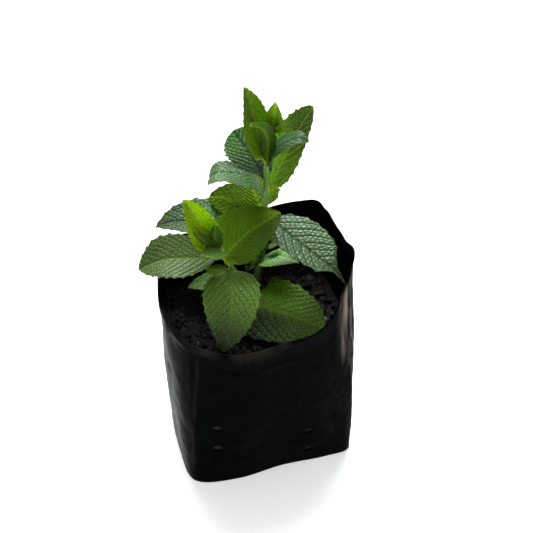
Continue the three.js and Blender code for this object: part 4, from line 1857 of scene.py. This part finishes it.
    def sheet(self, rows: int, columns: int) -> bpy.types.Object:
        """Models the leaf as a closed shape.

        Args:
            rows: How many rows of points lie along it.
            columns: How many columns lie across it.

        Returns:
            The leaf, with its material, not yet fastened to the part.
        """
        line, side = self.midrib()
        length = self.length(line)
        stalk = self.blade.stalk / length
        blade_length = length * (1 - stalk)
        plan = self.plan(rows, columns, stalk)
        veins = self.veins(plan, blade_length)
        leaf = grid(self.name, self.bent(plan, line, side, self.quilt(plan, veins, blade_length)))
        self.colour(leaf, plan, veins)
        thick = self.thickness(plan, veins)
        thicken(leaf, float(thick.max()), -0.72, thick / thick.max())
        outward(leaf)
        leaf.data.materials.append(material_of(self.age.value))
        return leaf

    def build(self, *nodes: str) -> bpy.types.Object:
        """Makes the leaf on a grid as fine as its size needs.

        Args:
            *nodes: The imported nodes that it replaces.

        Returns:
            The finished piece.
        """
        line, _ = self.midrib()
        rows = int(np.clip(self.length(line) / 0.4, 50, 170))
        columns = int(np.clip(self.blade.width / 0.36, 28, 105)) | 1
        leaf = self.sheet(rows, columns)
        shade(leaf)
        leaf.name = leaf.data.name = self.name + "_blade"
        return dress(leaf, self.slot, *nodes)


Place: TypeAlias = tuple[str, Stem, float, Age, Blade]


@dataclass
class Shoots:
    """Both stems, their nineteen leaves, and four small leaves between them.

    young names the leaves that have the slot of young leaves.
    """

    tall: Stem = field(default_factory=lambda: Stem(
        "tall_stem",
        np.array([
            [11, 25, 86], [11, 25, 98], [15.5, 27, 126], [17, 27.5, 152], [18, 27.5, 164],
            [18.5, 27, 184], [20, 26, 203], [20.5, 25.5, 208],
        ], float),
        (2.3, 1.3), (116, 141, 150, 165, 182, 204),
        (
            (206, Blade((17, 21, 215), 7, arch=0.1, fold=16, stalk=2)),
            (206, Blade((25, 21, 216), 7, arch=0.1, fold=16, stalk=2)),
            (118, Blade((14, 17, 131), 7, arch=0.1, fold=16, stalk=2)),
            (112, Blade((0, 17, 123), 8, arch=0.1, fold=14, stalk=2)),
        ),
        1500,
    ))
    short: Stem = field(default_factory=lambda: Stem(
        "short_stem",
        np.array([[2, 6, 86], [2, 6, 98], [-4, 4, 118], [-12, 3, 136], [-17.5, 3, 149]], float),
        (2.0, 1.3), (106, 140, 147),
        (
            (149, Blade(
                (-33, 2.5, 166), 8, via=((-24.5, 1.5, 154),), fold=10, facing=253, taper=0.7, stalk=2)),
            (149, Blade(
                (-20.1, 2, 168.5), 8, via=((-20.8, 1.2, 158),), fold=10, facing=253, taper=0.7, stalk=2)),
            (149, Blade((-15, 1, 163), 5, arch=0.1, fold=16, stalk=2)),
        ),
        900,
    ))
    young: tuple[str, ...] = ("leaf_young_back", "leaf_young_front", "leaf_top_tip", "leaf_top_front")

    def table(self) -> list[Place]:
        """Lists the nineteen large leaves.

        Returns:
            Each leaf's name, its stem, the height at which it leaves the stem, its age and its blade.
        """
        tall, short = self.tall, self.short
        return [
            ("leaf_big_right", tall, 147, Age.OLD, Blade(
                (51, -26, 129), 38, 9, via=((21.6, 17.9, 147.6), (29.9, 1.8, 144.7), (39.1, -12.1, 139.8),
                                            (45.1, -18.8, 135.8)),
                fold=8, rise=0.66, taper=0.94, cell=2.6, vein_slant=0.5, drip=0.72, halves=(0.95, 0.76),
                tones=(1.0, 0.9, 0.9, 0.8))),
            ("leaf_big_left", tall, 133, Age.OLD, Blade(
                (-46, 47, 139), 36, 9, via=((-17.5, 37.7, 142), (-28.7, 41.4, 143.4), (-37.4, 44.2, 142.5)),
                fold=3, cup=(8, 13), rise=0.72, taper=0.85, tones=(1.2, 0.45, 1.5, 0.5),
                matt=(0.2, 0.6, 0.2, 0.6))),
            ("leaf_back", tall, 148, Age.TENDER, Blade(
                (13, 54, 160), 30, 8, via=((15, 38, 154.5),), rise=0.38, cup=(5, 5), fold=6, taper=0.7,
                halves=(1.0, 1.0), tones=(0.75, 0.55, 1.1, 0.8))),
            ("leaf_back_left", tall, 146, Age.TENDER, Blade(
                (-10, 55, 148.5), 24, 7, via=((5.1, 39.3, 149.8), (-2.2, 46.9, 151)), fold=6, cup=(-30, 20),
                taper=0.7, halves=(0.9, 1.0), tones=(0.55, 0.55, 0.5, 0.4), matt=(1, 1, 1, 1))),
            ("leaf_drooping_left", tall, 164, Age.OLD, Blade(
                (-15, 34, 177.3), 24, 8, via=((12.3, 27.1, 172.6), (6.6, 28.5, 178.6), (-5.9, 31.7, 182.4),
                                              (-12.2, 33.1, 181)),
                fold=3, cup=(6, -6), halves=(1.24, 1.0), rise=0.35, taper=0.33, cell=2.2)),
            ("leaf_upright_right", tall, 166, Age.GROWN, Blade(
                (47, 29.5, 219), 28, 10, via=((25.6, 28.3, 179.1), (31, 28.6, 191.2), (38.7, 29, 206.5)),
                fold=8, cup=(-10, 8), facing=20, rise=0.5, taper=0.62, stalk=4, cell=2.0, halves=(1.0, 1.2),
                tones=(1.5, 0.4, 0.9, 0.3), matt=(0.3, 0.0, 0.3, 0.0))),
            ("leaf_curled_left", tall, 174, Age.FROSTED, Blade(
                (4.8, 49, 197.6), 25, 9, via=((15.4, 32, 179), (11.8, 39.5, 186), (8.2, 45.5, 192)),
                fold=0, cup=(-4, 0), facing=84, rise=1.0, taper=0.5, stalk=1.2, cell=2.2, quilt=1.3,
                halves=(1.0, 0.9), tones=(0.7, 1.6, 0.5, 1.2))),
            ("leaf_curled_right", tall, 182, Age.OLD, Blade(
                (39.5, 13.6, 206.8), 15, 8, via=((21.4, 24.2, 194.5), (25.3, 22, 200.9), (30.4, 19, 205.8),
                                                 (34.8, 15.8, 208.7)),
                fold=2, cup=(4, -4), roll=9, rise=0.5, taper=0.6, cell=1.8, quilt=1.3,
                tones=(0.85, 0.85, 0.85, 0.85))),
            ("leaf_top_left", tall, 186, Age.GROWN, Blade(
                (7.8, 36.8, 235), 21, 10, via=((15, 31.2, 199.7), (12.4, 33.2, 212.8), (10.4, 34.8, 225.3)),
                fold=6, cup=(20, 2), facing=110, taper=0.8, cell=1.9, halves=(1.22, 0.96),
                tones=(0.8, 0.5, 1.4, 1.0), matt=(0, 0, 1, 1))),
            ("leaf_top_front", tall, 186, Age.BUD, Blade(
                (5.5, 18, 221.5), 13, 7, via=((17.4, 22, 197), (16.9, 20.5, 208.5), (13.6, 19.4, 216.5),
                                             (9.4, 18.8, 219.8)),
                fold=34, facing=250, taper=0.6, cell=1.6, quilt=0.9, halves=(0.84, 1.0),
                tones=(0.7, 1.5, 0.7, 1.5))),
            ("leaf_top_tip", tall, 204, Age.GROWN, Blade(
                (24, 29, 227), 12, 6, fold=14, facing=60, lean=0.4, rise=0.4, cell=1.6, quilt=1.3,
                tones=(1.2, 1.3, 1.0, 1.4), matt=(1, 1, 1, 1))),
            ("leaf_low_front", short, 134, Age.FULL, Blade(
                (-28, -37, 105), 34, 10, arch=0.13, sway=0.06, fold=8, rise=0.46, taper=0.9, cell=2.0,
                quilt=1.5, tones=(1.4, 0.25, 1.4, 0.25), matt=(0, 0.6, 0, 0.6))),
            ("leaf_low_left", short, 141, Age.FULL, Blade(
                (-65, 11, 138.5), 34, 10, via=((-29.9, 5.4, 143), (-48.2, 8.3, 144.5), (-57, 9.7, 142.1)),
                fold=10, cup=(-12, 14), rise=0.9, taper=0.8, lean=0.5, quilt=0.9,
                tones=(0.84, 0.76, 0.66, 0.52), matt=(0, 0, 0.8, 0.8))),
            ("leaf_cupped", short, 139, Age.TENDER, Blade(
                (22, 12.3, 160), 39, 12, via=((-14.6, 0.4, 144.5), (-7.4, 2.9, 150.3), (-0.3, 5.2, 154.7),
                                              (9.6, 8.4, 157.4)),
                fold=0, cup=(15, -14), halves=(1.04, 0.74), rise=0.44, taper=0.74, leave=-110, facing=18,
                quilt=0.5, cell=1.9, tones=(1.2, 0.9, 0.6, 0.5))),
            ("leaf_young_back", short, 147, Age.YOUNG, Blade(
                (-36, 12, 182.6), 23, 8, via=((-23.9, 7.2, 156.7), (-27.6, 8.6, 164.1), (-30.8, 9.9, 172)),
                fold=12, cup=(2, 4), facing=115, rise=0.38, taper=0.75, cell=1.8, halves=(1.0, 0.78),
                tones=(0.7, 0.6, 1.1, 1.1), matt=(1, 1, 1, 1))),
            ("leaf_young_front", short, 148, Age.FULL, Blade(
                (-31.5, -5.5, 154), 14, 6, via=((-20, -3, 151), (-25.5, -5, 151.5)), fold=14, leave=-120,
                rise=0.4, taper=0.6, cell=1.5, quilt=1.3, tones=(1.2, 1.2, 1.2, 1.2))),
            ("leaf_small_left", short, 107, Age.DOWNY, Blade(
                (-34, 19, 110), 20, 6, arch=0.2, fold=8, cell=2.0, quilt=1.4, tones=(1.8, 1.8, 1.8, 1.8))),
            ("leaf_lowest_right", short, 105, Age.SHADED, Blade(
                (34.5, -36, 107), 44, 9, via=((4.5, -8, 108.5), (16.5, -20.5, 109), (26.5, -29.5, 108.6)),
                fold=0, cup=(10, -20), rise=0.3, taper=0.6, cell=2.6, halves=(1.05, 1.02),
                lobe=0.3, quilt=1.2, tones=(1.7, 0.8, 0.24, 0.4), matt=(0, 0.3, 0.2, 0.4))),
            ("leaf_small_right", tall, 118, Age.DOWNY, Blade(
                (31, 4, 126), 18, 8, arch=0.08, fold=4, leave=-60, rise=0.5, taper=1.0, stalk=1.5, cell=1.6,
                quilt=1.8, halves=(0.9, 1.5), tones=(1.6, 0.8, 1.8, 0.7))),
        ]

    def small_table(self) -> list[Place]:
        """Lists small leaves between the large ones that only show up close.

        Returns:
            The same values for each of them.
        """
        tall = self.tall
        return [
            ("small_leaf_front", tall, 117, Age.OLD, Blade(
                (1.5, 13, 119), 9, 5, arch=0.1, fold=12, cell=1.4)),
            ("small_leaf_middle", tall, 121, Age.FULL, Blade(
                (5, 15.5, 120), 8, 5, arch=0.15, fold=12, cell=1.4)),
            ("small_leaf_left", self.short, 132, Age.TENDER, Blade(
                (-25, 12.5, 128), 10, 5, via=((-13, 3.6, 130), (-18.5, 7, 129.3)), fold=6, cell=1.6,
                tones=(0.5, 0.5, 0.5, 0.5))),
            ("small_leaf_behind", tall, 123, Age.FULL, Blade(
                (26, 20, 130), 10, 5, arch=0.05, fold=10, cell=1.4)),
        ]

    def seat(self, stem: Stem, at: float, blade: Blade) -> Array:
        """Where a leaf's stalk starts: just clear of its stem, on the side that the leaf grows from.

        Args:
            stem: The stem.
            at: The height on the stem.
            blade: The leaf's form.

        Returns:
            The place in millimetres.
        """
        middle = stem.middle(at)
        if blade.leave is None:
            towards = np.array(blade.via[0] if blade.via else blade.tip, float) - middle
            towards = unit(np.array([towards[0], towards[1], 0]))
        else:
            heading = math.radians(blade.leave)
            towards = np.array([math.cos(heading), math.sin(heading), 0])
        line, _ = Leaf("", blade, middle, Age.OLD, 0).midrib()
        steep = abs(unit(line[8] - line[0])[2])
        clear = float(stem.radius(at)) * 1.07 + 0.3 + 0.65 * steep + blade.lean
        return middle + towards * clear

    def build(self) -> list[bpy.types.Object]:
        """Makes both stems and all leaves.

        Returns:
            The finished pieces.
        """
        made = [self.tall.build(21), self.short.build(22)]
        for number, (name, stem, at, age, blade) in enumerate(self.table()):
            slot = "young_leaf" if name in self.young else "mint_leaf"
            leaf = Leaf(name, blade, self.seat(stem, at, blade), age, number + 1, slot)
            made.append(leaf.build(name))
        for number, (name, stem, at, age, blade) in enumerate(self.small_table()):
            made.append(Leaf(name, blade, self.seat(stem, at, blade), age, number + 40).build())
        return made


# The stage

@dataclass
class Studio:
    """The camera at the photograph's view, a plain pale floor and soft lights.

    focal_px and frame_px are the lens's focal length and the picture's side in the photograph's
    pixels, and base_px is where the middle of the bag's base lies in it. azimuth and elevation are
    the camera's in degrees, 0 in front and on the level, and distance is in millimetres.
    """

    focal_px: float = 1500.0
    frame_px: float = 533.0
    azimuth: float = -17.0
    elevation: float = 40.0
    distance: float = 975.0
    base_px: tuple[float, float] = (252.0, 424.0)

    def axes(self) -> tuple[Vector, Vector, Vector]:
        """The camera's directions.

        Returns:
            Its right, back and up.
        """
        a, e = math.radians(self.azimuth), math.radians(self.elevation)
        right = Vector((math.cos(a), math.sin(a), 0))
        back = Vector((math.sin(a) * math.cos(e), -math.cos(a) * math.cos(e), math.sin(e)))
        return right, back, back.cross(right)

    def camera(self) -> None:
        """Places the camera so that the bag's base falls where the photograph has it."""
        right, back, up = self.axes()
        off_x = (self.base_px[0] - self.frame_px / 2) / self.focal_px * self.distance
        off_y = (self.frame_px / 2 - self.base_px[1]) / self.focal_px * self.distance
        data = bpy.data.cameras.new("camera")
        data.sensor_width = 36.0
        data.lens = self.focal_px / self.frame_px * data.sensor_width
        camera = bpy.data.objects.new("camera", data)
        bpy.context.scene.collection.objects.link(camera)
        camera.location = (back * self.distance - right * off_x - up * off_y) * MM
        camera.rotation_mode = "QUATERNION"
        camera.rotation_quaternion = (-back).to_track_quat("-Z", "Y")
        data.clip_start, data.clip_end = 0.05, 20.0
        bpy.context.scene.camera = camera

    def floor(self) -> None:
        """A plain pale floor just under the bag."""
        start_clean()
        bpy.ops.mesh.primitive_plane_add(size=12.0, location=(0, 0, -0.0003))
        floor = bpy.context.active_object
        floor.name = "floor"
        g = Graph("pale_floor")
        tint = g.mix(g.noise(3.0), (0.86, 0.86, 0.86), (0.88, 0.88, 0.88))
        white = g.surface(Base_Color=tint, Roughness=0.9, Specular_IOR_Level=0.1, Emission_Strength=0.5)
        floor.data.materials.append(white)

    def light(self, name: str, azimuth: float, elevation: float, spread: float, power: float,
              colour: Colour) -> None:
        """Adds a wide soft light, far enough away to light the whole floor alike.

        Args:
            name: The light's name.
            azimuth: Where it stands round the object, 0 in front and 180 behind, in degrees.
            elevation: Its height above the horizon, in degrees.
            spread: How wide it looks from the object, in degrees.
            power: Its strength in watts a square metre.
            colour: Its colour.
        """
        a, e = math.radians(azimuth), math.radians(elevation)
        way = Vector((math.sin(a) * math.cos(e), -math.cos(a) * math.cos(e), math.sin(e)))
        data = bpy.data.lights.new(name, "SUN")
        data.angle = math.radians(spread)
        data.energy = power
        data.color = colour
        lamp = bpy.data.objects.new(name, data)
        bpy.context.scene.collection.objects.link(lamp)
        lamp.location = way * 2
        lamp.rotation_euler = way.to_track_quat("Z", "Y").to_euler()

    def build(self) -> None:
        """Sets the camera, floor, lights and surroundings."""
        self.camera()
        self.floor()
        self.light("window_behind", 165, 51, 42, 4.5, (0.95, 0.98, 1.0))
        self.light("ceiling", 165, 80, 50, 0.8, (0.96, 0.98, 1.0))
        self.light("left_window", -70, 30, 50, 0.35, (0.96, 0.98, 1.0))
        world = bpy.data.worlds.new("studio")
        bpy.context.scene.world = world
        world.use_nodes = True
        shade_ = world.node_tree.nodes["Background"]
        shade_.inputs["Color"].default_value = (0.92, 0.95, 1.0, 1.0)
        shade_.inputs["Strength"].default_value = 0.2
        bpy.context.scene.view_settings.view_transform = "Standard"


def main() -> None:
    """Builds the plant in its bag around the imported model."""
    logging.basicConfig(level=logging.INFO, format="%(name)s: %(message)s", stream=sys.stdout)
    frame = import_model()
    LOG.info("packed nodes: %d", len(frame["nodes"]))
    start_clean()
    Studio().build()
    bag = GrowBag()
    bag.build()
    PottingSoil(bag).build()
    Shoots().build()
    start_clean()


if __name__ == "__main__":
    main()
